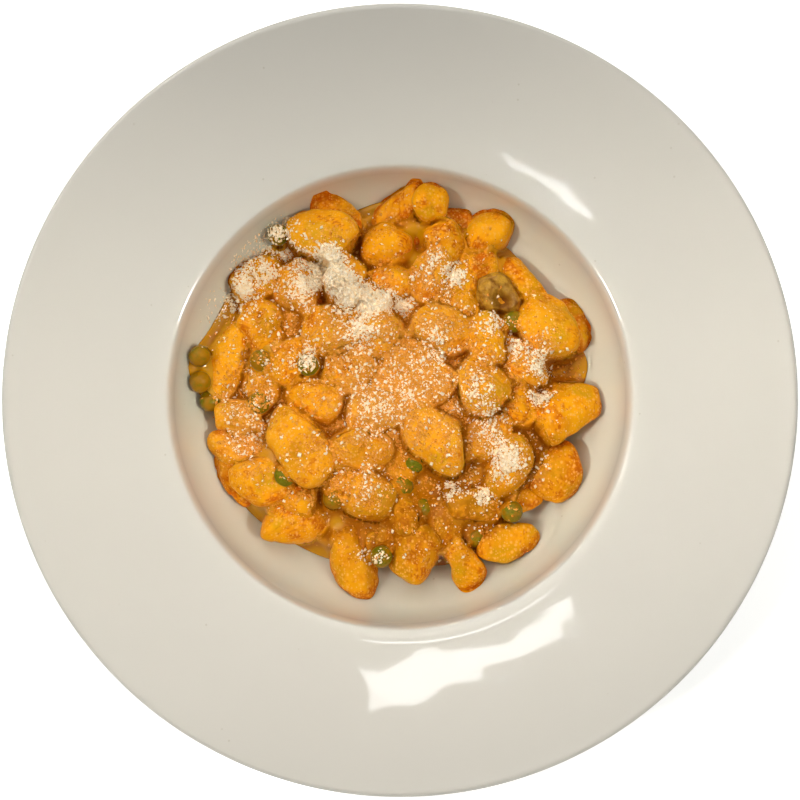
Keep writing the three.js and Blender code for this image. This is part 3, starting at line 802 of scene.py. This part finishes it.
# x, y, radius in mm, strength.
OIL_POOLS = [
    (-9, 79, 7, 1.5), (47, 51, 7, 1.5), (-56, -43, 4.5, 1.5), (-31.5, -63, 4.5, 1.5),
    (-53, 21, 4, 1.5), (-52, -23, 4, 1.5), (-25, -49, 2.5, 1.5), (-78, 14, 6, 1.5),
    (-77, 5, 6, 1.5), (24, -43, 5, 1.5), (5, 57, 3, 1.5), (6, 66, 4, 1.5), (-16, -22, 3, 1.5),
]
# x, y, radius in mm, strength: spots where the dough and the sauce are a darker brown.
DARKER_SPOTS = [
    (5, -47, 15, 1.0), (31, -45, 13, 1.0), (-12, -60, 12, 0.7), (56, -28, 12, 0.7),
    (-15, -21, 5, 0.9), (18, -44, 8, 0.6), (-39, -23, 6, 0.8), (-51, 27, 4, 1.0),
    (-16, 11, 6, 0.7), (-27, -45, 7, 0.9), (-8, -54, 7, 0.6),
]


def bells(listed):
    """The sum of round bells given as x, y, radius and strength, as a map."""
    return sum(a * np.exp(-((map_x - x) ** 2 + (map_y - y) ** 2) / r**2) for x, y, r, a in listed)


oil_map, soaked_map = np.clip(bells(OIL_POOLS), 0, 1), np.clip(bells(DARKER_SPOTS), 0, 1)
dry_drifts = bells([(x, y, radius, dry) for x, y, radius, dry, _ in CHEESE_DRIFTS])
warm_drifts = bells([(x, y, radius, warm) for x, y, radius, _, warm in CHEESE_DRIFTS])
patches = 0.5 + 0.5 * lumps(map_at, 4.5, 21)
grains = 0.5 + 0.5 * lumps(map_at, 1.8, 22)
broken = np.clip(0.35 + 0.9 * patches * (0.5 + grains), 0, 2)
unsoaked = 1 - 0.7 * soaked_map
# A thin scatter lies everywhere on the food, and on the wall at the far left.
heap_mask = np.clip((shore(map_bearing) + 1 - map_radius) / 4, 0, 1)
on_wall = (map_bearing > math.radians(115)) & (map_bearing < math.radians(165))
melted_map = (warm_drifts * broken * unsoaked + 0.02) * heap_mask
dry_map = dry_drifts * broken + 0.001
dry_map *= np.where(on_wall & (map_radius < WELL_RADIUS - 2), 1, heap_mask)
# How much the food's own colour turns peach under the cheese.
cover_map = np.clip(0.75 * warm_drifts * (0.4 + 1.2 * patches) + 0.9 * dry_map, 0, 1) * unsoaked
print("thickest dry", round(float(dry_map.max()), 2), "melted", round(float(melted_map.max()), 2))

# %% [markdown]
# ## The sauce
# Thick sauce fills the valleys between the gnocchi and makes a rounded fillet where they meet
# the pool. Rolling a ball over the map gives just that: where the ball can't reach, sauce has
# gathered. A fluid simulation would find the same valleys in minutes instead of seconds. The
# sauce lies a little under the tops of the gnocchi, so it shows only in between. A few gaps
# stay open, where no sauce has run. Warm cheese thickens the film, oil lies smooth on it, and
# under the thickest dry cheese a soft heap fills the hollows.

# %% Where the sauce stands
BALL, SAG = 4.4, 0.09
FILL, FILL_WITH_CHEESE = 3.4, 2.0
FULLY_WET, BELOW_FILL, GAP_DEPTH = 0.15, 0.3, 0.8
POWDER_DEPTH, POWDER_IN_HOLLOWS = 1.2, 3.5
SHORE_BAND = 5.0
# x, y, radius in mm, strength.
GAPS = [(-31, 39, 2.6, 1), (-16, -25, 2.6, 1), (6, 63, 3.0, 1), (5, 54.5, 2.2, 1),
        (62.5, 12, 2.8, 1), (51.5, 6.5, 2.0, 1), (18, -54, 2.0, 1), (30, -54.5, 2.0, 1)]
topped = raised(top_map, np.concatenate([*peas.values(), mushroom]))
rolled = rolled_over(rolled_over(topped, BALL, np.maximum, SAG), BALL, np.minimum, SAG)
warm, dry_thick = np.clip(warm_drifts, 0, 1), np.clip(0.8 * dry_drifts * broken, 0, 1)
bare = rolled_over(raised(np.zeros(dish.shape), mushroom), 0.6) > 0
fill = np.minimum(rolled - topped, FILL + FILL_WITH_CHEESE * warm) * np.where(bare, 0.1, 1)
closed = 1 - np.clip(bells(GAPS), 0, 1)
# Where no sauce has gathered, the film hides just under the surface of the food.
hidden = rolled_over(topped, 0.85, np.minimum) - 0.1
filled = blurred(topped + fill * closed, 0.5) - BELOW_FILL - GAP_DEPTH * (1 - closed)
film = hidden + np.clip(fill / FULLY_WET, 0, 1) * (filled - hidden)
film += 0.08 * lumps(map_at, 2.6, 11)
cheese_lift = blurred(np.clip(1.3 * warm + dry_thick - 0.25, 0, 1), 0.8)
fluff = 0.42 + 0.22 * lumps(map_at, 1.5, 12) + 0.6 * dry_thick
film += np.where(bare, 0, closed * cheese_lift * fluff)
film += oil_map * (blurred(film, 1.4) - film)
# Powder is the thickest dry cheese. It lies deeper in the hollows, which it levels out.
powder_map = np.clip(1.6 * dry_thick - 0.6, 0, 1)
hollows = np.clip(blurred(film, 3.5) - film, 0, POWDER_IN_HOLLOWS)
film += powder_map * (POWDER_DEPTH + hollows)
edge = np.clip((shore(map_bearing) - map_radius) / SHORE_BAND, 0, 1)
film = np.maximum(film, pool) * edge + pool * (1 - edge)
# Creases: what lies under the blurred surface. Sauce is deeper in them, and their colour is darker,
# partly for that and partly as painted shade.
surface = np.maximum(film, heap_map)
crease_sauce_and_shade_map = np.clip((blurred(surface, 1.2) - surface) / 0.45 - 0.15, 0, 1)
print("the sauce fills up to", round(float(fill.max()), 1), "mm")

# %% [markdown]
# The layer is one closed mesh, because a solid of it is wanted too: its top follows the map,
# and it goes round its rim and back along the ceramic. A square grid drawn into a disc has
# even cells everywhere, where a grid of rings would crowd them in the middle.

# %% The sauce as one closed layer
def disc(steps):
    """A square grid drawn into a disc: its square rings become circles. Returns the share of
    the radius and the bearing of each point."""
    line = np.linspace(-1, 1, steps + 1)
    u, v = np.meshgrid(line, line, indexing="ij")
    wide = np.abs(u) > np.abs(v)
    big, small = np.where(wide, u, v), np.where(wide, v, u)
    ratio = np.divide(small, big, out=np.zeros_like(big), where=big != 0) * np.pi / 4
    angle = np.where(wide, ratio, np.pi / 2 - ratio)
    x, y = big * np.cos(angle), big * np.sin(angle)
    return np.hypot(x, y), np.arctan2(y, x)


SAUCE_STEPS = 302
ABOVE_DISH = 0.15


def sauce_layer(steps):
    """The top is read from the map. Its rim is repeated in rings underneath, which follow the
    ceramic inwards, and the innermost closes on one point."""
    share, bearing = disc(steps)
    radius = share * shore(bearing)
    x, y = radius * np.cos(bearing), radius * np.sin(bearing)
    top = np.stack([x, y, read(film, x, y)], -1).reshape(-1, 3)
    number = np.arange((steps + 1) ** 2).reshape(steps + 1, steps + 1)
    a, b, c, d = number[:-1, :-1], number[1:, :-1], number[1:, 1:], number[:-1, 1:]
    faces = [np.stack([a, b, c], -1).reshape(-1, 3), np.stack([a, c, d], -1).reshape(-1, 3)]
    rim = np.concatenate([number[:-1, 0], number[-1, :-1], number[:0:-1, -1], number[0, :0:-1]])
    points, ring = [top], rim
    for inward in (1.0, 0.96, 0.9, 0.84, 0.5):
        under = top[rim] * [inward, inward, 1]
        under[:, 2] = well_height(np.hypot(under[:, 0], under[:, 1])) + ABOVE_DISH
        below = sum(map(len, points)) + np.arange(len(rim))
        points.append(under)
        ahead, below_ahead = np.roll(ring, -1), np.roll(below, -1)
        faces += [np.stack([ring, below, below_ahead], 1), np.stack([ring, below_ahead, ahead], 1)]
        ring = below
    last = sum(map(len, points))
    points.append(np.array([[0, 0, FLOOR_HEIGHT + ABOVE_DISH]]))
    faces.append(np.stack([ring, 0 * ring + last, np.roll(ring, -1)], 1))
    return np.concatenate(points), np.concatenate(faces)


sauce_points, sauce_faces = sauce_layer(SAUCE_STEPS)
print(len(sauce_points), "points in the sauce")

# %% [markdown]
# A crumb is an octahedron whose corners are moved at random and which is then stretched: the
# fewest faces that still look broken off. It lies flat on the slope that the map has under it,
# and in the thick of a drift crumbs lie on other crumbs. Particles could scatter them, but one
# mesh of all crumbs of a kind is lighter and always the same. Few crumbs stay on steep slopes,
# in open gaps, on oil, on the mushroom or down in cold valleys. There are loose crumbs up to
# 2.1 mm, dust up to 1.2 mm, and warm grains that have sunk in.

# %% Crumbs
CRUMB_CORNERS = np.array([(1, 0, 0), (-1, 0, 0), (0, 1, 0), (0, -1, 0), (0, 0, 1), (0, 0, -1)])
CRUMB_FACES = np.array([(0, 2, 4), (2, 1, 4), (1, 3, 4), (3, 0, 4),
                        (2, 0, 5), (1, 2, 5), (3, 1, 5), (0, 3, 5)])
surface_map = np.maximum(np.maximum(topped, film), dish)
slope_x, slope_y = np.gradient(rolled_over(surface_map, 0.5), PITCH)
# 1 on the level, 2 at 45 degrees.
fall = 1 + slope_x**2 + slope_y**2
cold_valley = (1 - warm) * np.clip(-standing / 2.5, 0, 1)
open_to_crumbs = closed * (1 - oil_map) * (1 - 0.85 * bare) * (1 - 0.6 * cold_valley)
STEEPEST_LIE = 1.6


def crumbs(thickness, count, length, flat, pile, seed, above=0.55):
    """Crumbs drawn where the cheese lies thick, longest `length` mm. Each stands on the map,
    up to `pile` mm higher where the cheese is thickest, and leans with the slope. `above` is
    how much of its half thickness shows."""
    random = np.random.default_rng(seed)
    chance = (thickness / thickness.sum()).ravel()
    cells = random.choice(chance.size, count, p=chance)
    x = map_x.ravel()[cells] + random.uniform(-0.5, 0.5, count) * PITCH
    y = map_y.ravel()[cells] + random.uniform(-0.5, 0.5, count) * PITCH
    long = length * (0.4 + 0.6 * random.random(count) ** 2)
    sizes = np.stack([long, long * random.uniform(0.45, 0.9, count),
                      long * random.uniform(0.3, 0.7, count) * flat], 1) / 2
    shape = CRUMB_CORNERS + random.uniform(-0.25, 0.25, (count, 6, 3))
    shape = shape * random.uniform(0.85, 1.2, (count, 6, 1)) * sizes[:, None]
    turn = random.uniform(0, 2 * np.pi, count)
    lean = random.normal(0, 0.35 * flat, (count, 2))
    sx, sy = (np.clip(slope.ravel()[cells], -STEEPEST_LIE, STEEPEST_LIE) + lean[:, axis]
              for axis, slope in enumerate((slope_x, slope_y)))
    up = np.stack([-sx, -sy, np.ones(count)], 1)
    up /= np.linalg.norm(up, axis=1, keepdims=True)
    level = np.stack([np.cos(turn), np.sin(turn), np.zeros(count)], 1)
    first = level - up * np.sum(level * up, 1, keepdims=True)
    first /= np.linalg.norm(first, axis=1, keepdims=True)
    axes = np.stack([first, np.cross(up, first), up], 1)
    z = read(surface_map, x, y) + sizes[:, 2] * above
    share = thickness.ravel()[cells] / np.quantile(thickness, 0.998)
    z += pile * random.random(count) * np.clip(share, 0, 1) ** 1.3
    points = np.einsum("nij,njk->nik", shape, axes) + np.stack([x, y, z], 1)[:, None]
    return points, np.repeat(random.random(count), 6)


loose = dry_map * open_to_crumbs / fall
sunk = melted_map * open_to_crumbs * (fall < 2.5) / fall**2
dry = crumbs(loose, 13000, length=2.1, flat=1.0, pile=1.5, seed=31)
dust = crumbs(loose, 13000, length=1.2, flat=1.0, pile=1.4, seed=32)
soft = crumbs(sunk, 24000, length=1.9, flat=0.6, pile=0.1, seed=33, above=0.3)
print("crumbs", len(dry[0]), "dust", len(dust[0]), "half melted", len(soft[0]))

# %% [markdown]
# ## Materials of the food
# Boiled potato dough is pale yellow and lets some light in. A thin coat of tomato cream sauce
# makes it orange where it gathers, and the coat is wet, so it mirrors lamps in small spots.
# Each gnocco has its own depth of colour, kept in the mesh as an attribute, and streaks from
# random noise go over it. Low places and creases are deeper, partly because more sauce stays
# there and partly as painted shade, and high places are yellower, as painted light. Listed
# spots are darker brown, and half-melted cheese shows as peach grains of about a millimetre.
# A picture of food laid over the forms would be quicker, but wouldn't fit them; here each
# colour has a cause, and its mask says where.

# %% Dough in sauce
def cream_grains(tree, at, amount, scales):
    """A mask of soft round grains of several sizes: near the middles of random cells, in as
    large a share of the cells as the amount."""
    mask = 0.0
    for scale in scales:
        cells = add(tree, "TexVoronoi", Vector=at, Scale=scale)
        grain = add(tree, "MapRange", Value=cells, From_Min=0.18, From_Max=0.5, To_Min=1.0,
                    To_Max=0.0)
        chosen = add(tree, "SeparateColor", Color=cells.node.outputs["Color"])
        some = add(tree, "Math", "LESS_THAN", i0=chosen, i1=amount)
        grain = add(tree, "Math", "MULTIPLY", i0=grain, i1=some)
        mask = add(tree, "Math", "MAXIMUM", i0=mask, i1=grain)
    return mask


# A scale is in waves to the metre. They come from streaks of 9 and 2.4 mm, olive patches of
# 14 mm, and cells of 1.6 and 0.9 mm for the grains, a little coarser than real ones to show.
dough, tree, at = material("boiled_potato_dough_in_tomato_cream_sauce")
tint, cheese, soaked, powder = (add(tree, "Attribute", {"attribute_name": name})
                                for name in ("tint", "cheese", "soaked", "powder"))
broad = add(tree, "TexNoise", Vector=at, Scale=110.0, Detail=2.0, Roughness=0.5)
fine = add(tree, "TexNoise", Vector=at, Scale=420.0, Detail=3.0, Roughness=0.6)
blush = add(tree, "Math", "MULTIPLY_ADD", i0=broad, i1=3.4, i2=-1.7)
streak = add(tree, "Math", "MULTIPLY_ADD", i0=fine, i1=1.2, i2=-0.6)
total = add(tree, "Math", "ADD", i0=blush, i1=streak)
depth = add(tree, "Math", {"operation": "ADD", "use_clamp": True}, i0=total, i1=tint)
deeper = add(tree, "MapRange", Value=depth, From_Min=0.5)
place = add(tree, "VectorMath", "ADD", i0=at, i1=(0.3, 0.2, 0.1))
elsewhere = add(tree, "TexNoise", Vector=place, Scale=70.0, Detail=2.0)
olive = add(tree, "MapRange", Value=elsewhere, From_Min=0.52, From_Max=0.68, To_Max=0.8)
brown = add(tree, "Math", "MULTIPLY", i0=soaked, i1=0.72)
thin = add(tree, "MapRange", Value=fine, From_Min=0.3, From_Max=0.6, To_Min=0.25)
peach_film = add(tree, "Math", {"operation": "MULTIPLY", "use_clamp": True}, i0=cheese, i1=thin)
mottled = add(tree, "MapRange", Value=fine, From_Min=0.48, From_Max=0.62, To_Max=0.5)
some = add(tree, "Math", "MULTIPLY_ADD", i0=cheese, i1=0.5, i2=0.38)
some = add(tree, "Math", "MULTIPLY_ADD", i0=soaked, i1=-0.25, i2=some)
grain = cream_grains(tree, at, some, (620.0, 1100.0))
faint = add(tree, "Math", "MULTIPLY", i0=grain, i1=0.68)
colour = "#f0a40a"
for mask, coat in ((depth, "#e08202"), (deeper, "#c86202"), (olive, "#ca960a"),
                   (brown, "#9c5a06"), (peach_film, "#f0a430"), (mottled, "#eca21c"),
                   (faint, "#f2b658"), (powder, "#f6d6a0")):
    colour = add(tree, "Mix", COLOURS, i0=mask, i6=colour, i7=coat)
relief = add(tree, "Math", "MULTIPLY_ADD", i0=grain, i1=0.5, i2=fine)
skin = add(tree, "Bump", Strength=0.45, Distance=0.0004, Height=relief)
rough = add(tree, "MapRange", Value=broad, From_Min=0.3, From_Max=0.7, To_Min=0.28, To_Max=0.5)
finished(tree, Base_Color=colour, Roughness=rough, IOR=1.4, Specular_IOR_Level=0.05,
         Subsurface_Weight=0.15, Subsurface_Radius=(1.0, 0.4, 0.08), Subsurface_Scale=0.0025,
         Coat_Weight=0.08, Coat_Roughness=0.06, Coat_IOR=1.33, Normal=skin)

# %% [markdown]
# The maps are read at each point of the gnocchi and kept in the mesh. A low place is deeper in
# colour by 0.15 for each millimetre, and a crease by up to 0.7: partly because more sauce stays
# there, partly as painted shade. A high place is yellower by as much, as painted light. Cheese
# and powder lie on the upper side only, and fade in over the first 4 mm above a gnocco's middle.

# %% The gnocchi's meshes
for group, form in forms.items():
    points, faces = many(form, closed_faces(ROWS, SIDES))
    x, y = points[:, 0], points[:, 1]
    tints, middles = (np.repeat([piece[trait] for piece in groups[group]], form.shape[1])
                      for trait in ("tint", "z"))
    # Painted shade and light: low places and creases are deeper orange, high places yellower.
    tints = tints - 0.15 * np.clip(read(standing, x, y), -3, 3) + 0.7 * read(crease_sauce_and_shade_map, x, y)
    upward = np.clip((points[:, 2] - middles) / 4, 0, 1)
    make(f"gnocchi_{group}", points, faces, dough, "gnocchi", ["gnocchi_heap"], tint=tints,
         cheese=read(cover_map, x, y) * upward, soaked=read(soaked_map, x, y),
         powder=read(powder_map, x, y) * upward)

# %% [markdown]
# The sauce itself is tomato and cream, cooked down: an even orange-brown that is lighter where
# cream and cheese are in it, and browner in listed darker spots. It is browner in low places and
# creases too, partly because it lies deeper there and partly as painted shade. Golden oil has
# parted from it at the shore and in small pools. It is wet, so it mirrors more sharply than the
# gnocchi, and the oil most of all, with slow ripples. Cheese on it takes its gloss away.

# %% Tomato cream sauce
# Clouds of cream of 8 mm, a fine grain of 1.7 mm, and cells of 1.6 and 0.9 mm for the cheese.
sauce_finish, tree, at = material("tomato_cream_sauce_reduced_with_oil")
oil, cheese, powder, soaked = (add(tree, "Attribute", {"attribute_name": name})
                               for name in ("oil", "cheese", "powder", "soaked"))
broad = add(tree, "TexNoise", Vector=at, Scale=130.0, Detail=3.0, Roughness=0.55)
fine = add(tree, "TexNoise", Vector=at, Scale=600.0, Detail=2.0)
creamy = add(tree, "MapRange", Value=broad, From_Min=0.38, From_Max=0.62)
warmed = add(tree, "Math", "MULTIPLY", i0=cheese, i1=0.85)
matt = add(tree, "Math", "SUBTRACT", i0=1.0, i1=oil)
some = add(tree, "Math", "MULTIPLY_ADD", i0=cheese, i1=0.7, i2=0.25)
some = add(tree, "Math", "MULTIPLY", i0=some, i1=matt)
grain = cream_grains(tree, at, some, (640.0, 1150.0))
clean = add(tree, "MapRange", Value=soaked, To_Min=0.65, To_Max=0.3)
faint = add(tree, "Math", "MULTIPLY", i0=grain, i1=clean)
colour = "#c87a08"
# The brown coat follows the listed darker spots, and painted shade in low places and creases.
for mask, coat in ((creamy, "#e89a10"), (oil, "#c88e04"), (warmed, "#eaa63c"),
                   (soaked, "#a05a02"), (faint, "#f0b254"), (powder, "#f6d6a0")):
    colour = add(tree, "Mix", COLOURS, i0=mask, i6=colour, i7=coat)
relief = add(tree, "Math", "MULTIPLY_ADD", i0=fine, i1=0.5, i2=grain)
relief = add(tree, "Math", "MULTIPLY", i0=relief, i1=matt)
ripple = add(tree, "Math", "MULTIPLY", i0=broad, i1=oil)
relief = add(tree, "Math", "MULTIPLY_ADD", i0=ripple, i1=7.0, i2=relief)
flow = add(tree, "Bump", Strength=0.4, Distance=0.0004, Height=relief)
dull = add(tree, "Math", "MAXIMUM", i0=cheese, i1=powder)
dull = add(tree, "Math", "MULTIPLY", i0=dull, i1=matt)
rough = add(tree, "MapRange", Value=dull, To_Min=0.16, To_Max=0.6)
wet = add(tree, "MapRange", Value=dull, To_Min=0.14, To_Max=0.01)
wet = add(tree, "Math", "MULTIPLY_ADD", i0=oil, i1=0.7, i2=wet)
finished(tree, Base_Color=colour, Roughness=rough, IOR=1.4, Specular_IOR_Level=0.06,
         Subsurface_Weight=0.04, Subsurface_Radius=(1.0, 0.4, 0.1), Subsurface_Scale=0.002,
         Coat_Weight=wet, Coat_Roughness=0.05, Coat_IOR=1.4, Normal=flow)

# %% [markdown]
# The sauce's mesh gets its maps too. Oil stands from 86% of the way to the shore, and in its
# pools. The sauce is brown in the listed darker spots, and as painted shade in low places and
# creases, but not under oil.

# %% The sauce's mesh
SHORE_OIL_FROM, SHORE_OIL_WIDTH = 0.86, 0.1
x, y = sauce_points[:, 0], sauce_points[:, 1]
sauce_share = np.hypot(x, y) / shore(np.arctan2(y, x))
shore_oil = np.clip((sauce_share - SHORE_OIL_FROM) / SHORE_OIL_WIDTH, 0, 1)
# The sauce's brown mask: the listed darker spots, and painted shade in low places and creases.
darker_spot_and_shade_map = 0.8 * soaked_map + 0.15 * np.clip(-standing / 3.0, 0, 1) + 0.8 * crease_sauce_and_shade_map
darker_spot_and_shade_map = np.clip(darker_spot_and_shade_map, 0, 1) * (1 - oil_map)
make("sauce_pool", sauce_points, sauce_faces, sauce_finish, "sauce", ["sauce", "gnocchi_heap"],
     oil=np.maximum(shore_oil, read(oil_map, x, y)), cheese=read(cover_map, x, y),
     powder=read(powder_map, x, y), soaked=read(darker_spot_and_shade_map, x, y))

# %% [markdown]
# Dry crumbs are matt and pale cream, some a little darker where they came off near the rind.
# Warm ones have begun to melt: peach, rounder and with a soft gloss. A crumb is too small for
# a pattern of its own, so each has one number that mixes its two colours.

# %% Cheese
def cheese_finish(name, light, dark, roughness):
    """Hard cheese, grated: two colours mixed by a number that each crumb has, and by flecks of
    0.7 mm, the size of a crumb's own broken faces."""
    made, tree, at = material(name)
    shade = add(tree, "Attribute", {"attribute_name": "shade"})
    flecks = add(tree, "TexNoise", Vector=at, Scale=1500.0, Detail=2.0)
    mixed = add(tree, "Math", "MULTIPLY_ADD", i0=flecks, i1=0.4, i2=shade)
    share = add(tree, "Math", {"operation": "SUBTRACT", "use_clamp": True}, i0=mixed, i1=0.2)
    colour = add(tree, "Mix", COLOURS, i0=share, i6=light, i7=dark)
    crumbly = add(tree, "Bump", Strength=0.4, Distance=0.0002, Height=flecks)
    finished(tree, Base_Color=colour, Roughness=roughness, IOR=1.45,
             Specular_IOR_Level=0.15, Normal=crumbly)
    return made


dry_cheese = cheese_finish("hard_cheese_grated_dry", "#fff6e2", "#fde2b4", 0.75)
soft_cheese = cheese_finish("hard_cheese_grated_half_melted", "#f4b252", "#e2902a", 0.5)
for kind, (shapes, shades), finish in (("crumbs", dry, dry_cheese), ("dust", dust, dry_cheese),
                                       ("half_melted", soft, soft_cheese)):
    make(f"cheese_{kind}", *many(shapes, CRUMB_FACES), finish, "cheese", [], shade=shades)

# %% [markdown]
# Cooked pea skin is olive green, duller than raw, and the sauce on it is brown orange. Noise
# says where the sauce clings, and a number for each pea how much of it there is.

# %% Peas
# Dabs of sauce 3 mm across, and wrinkles of 0.8 mm.
pea_skin, tree, at = material("cooked_pea_skin_with_sauce")
sauced = add(tree, "Attribute", {"attribute_name": "sauced"})
cover = add(tree, "TexNoise", Vector=at, Scale=330.0, Detail=3.0, Roughness=0.6)
fine = add(tree, "TexNoise", Vector=at, Scale=1300.0, Detail=2.0)
green = add(tree, "Mix", COLOURS, i0=fine, i6="#4c5606", i7="#84800c")
much = add(tree, "Math", "ADD", i0=cover, i1=sauced)
coat = add(tree, "MapRange", Value=much, From_Min=0.85, From_Max=1.1)
colour = add(tree, "Mix", COLOURS, i0=coat, i6=green, i7="#a06e04")
wrinkles = add(tree, "Bump", Strength=0.3, Distance=0.0003, Height=fine)
finished(tree, Base_Color=colour, Roughness=0.3, IOR=1.4, Specular_IOR_Level=0.12,
         Subsurface_Weight=0.1, Subsurface_Radius=(0.6, 1.0, 0.2), Subsurface_Scale=0.001,
         Coat_Weight=0.2, Coat_Roughness=0.06, Normal=wrinkles)
# How much sauce is on a pea, from 0.2 for almost none to 0.7 for nearly covered.
SAUCED = dict(pea_01=0.56, pea_02=0.60, pea_03=0.50, pea_04=0.60, pea_05=0.45, pea_06=0.45,
              pea_10=0.25, pea_11=0.25, pea_14=0.62)
USUALLY_SAUCED = 0.47
for name, points in peas.items():
    make(f"{name}_skin", points, closed_faces(PEA_ROWS, PEA_SIDES), pea_skin, "pea", [name],
         sauced=np.full(len(points), SAUCED.get(name, USUALLY_SAUCED)))

# %% [markdown]
# The mushroom is browned in the pan: ochre on the dome, with short fibres that catch the light,
# in patches of 4 mm. The hollow is painted dark, as painted shade. A bell over the hollow, kept
# in the mesh, says where that painted shade goes.

# %% Mushroom
browned, tree, at = material("mushroom_cap_pan_browned")
cover = add(tree, "TexNoise", Vector=at, Scale=260.0, Detail=5.0, Roughness=0.65)
dark = add(tree, "Attribute", {"attribute_name": "hollow"})
patch = add(tree, "MapRange", Value=cover, From_Min=0.35, From_Max=0.65)
colour = "#7a4808"
# The dark coat in the hollow is painted shade.
for mask, coat in ((patch, "#cc9c34"), (dark, "#6e3a04")):
    colour = add(tree, "Mix", COLOURS, i0=mask, i6=colour, i7=coat)
fibres = add(tree, "Bump", Strength=0.5, Distance=0.0004, Height=cover)
finished(tree, Base_Color=colour, Roughness=0.35, IOR=1.4, Specular_IOR_Level=0.15,
         Coat_Weight=0.2, Coat_Roughness=0.1, Normal=fibres)
from_hollow = mushroom[:, :2] - node_box("mushroom")[0][:2] - [2.5, -3.0]
make("mushroom_piece", mushroom, closed_faces(CAP_ROWS, CAP_SIDES), browned, "mushroom",
     ["mushroom"], hollow=np.exp(-(from_hollow**2).sum(1) / 12))
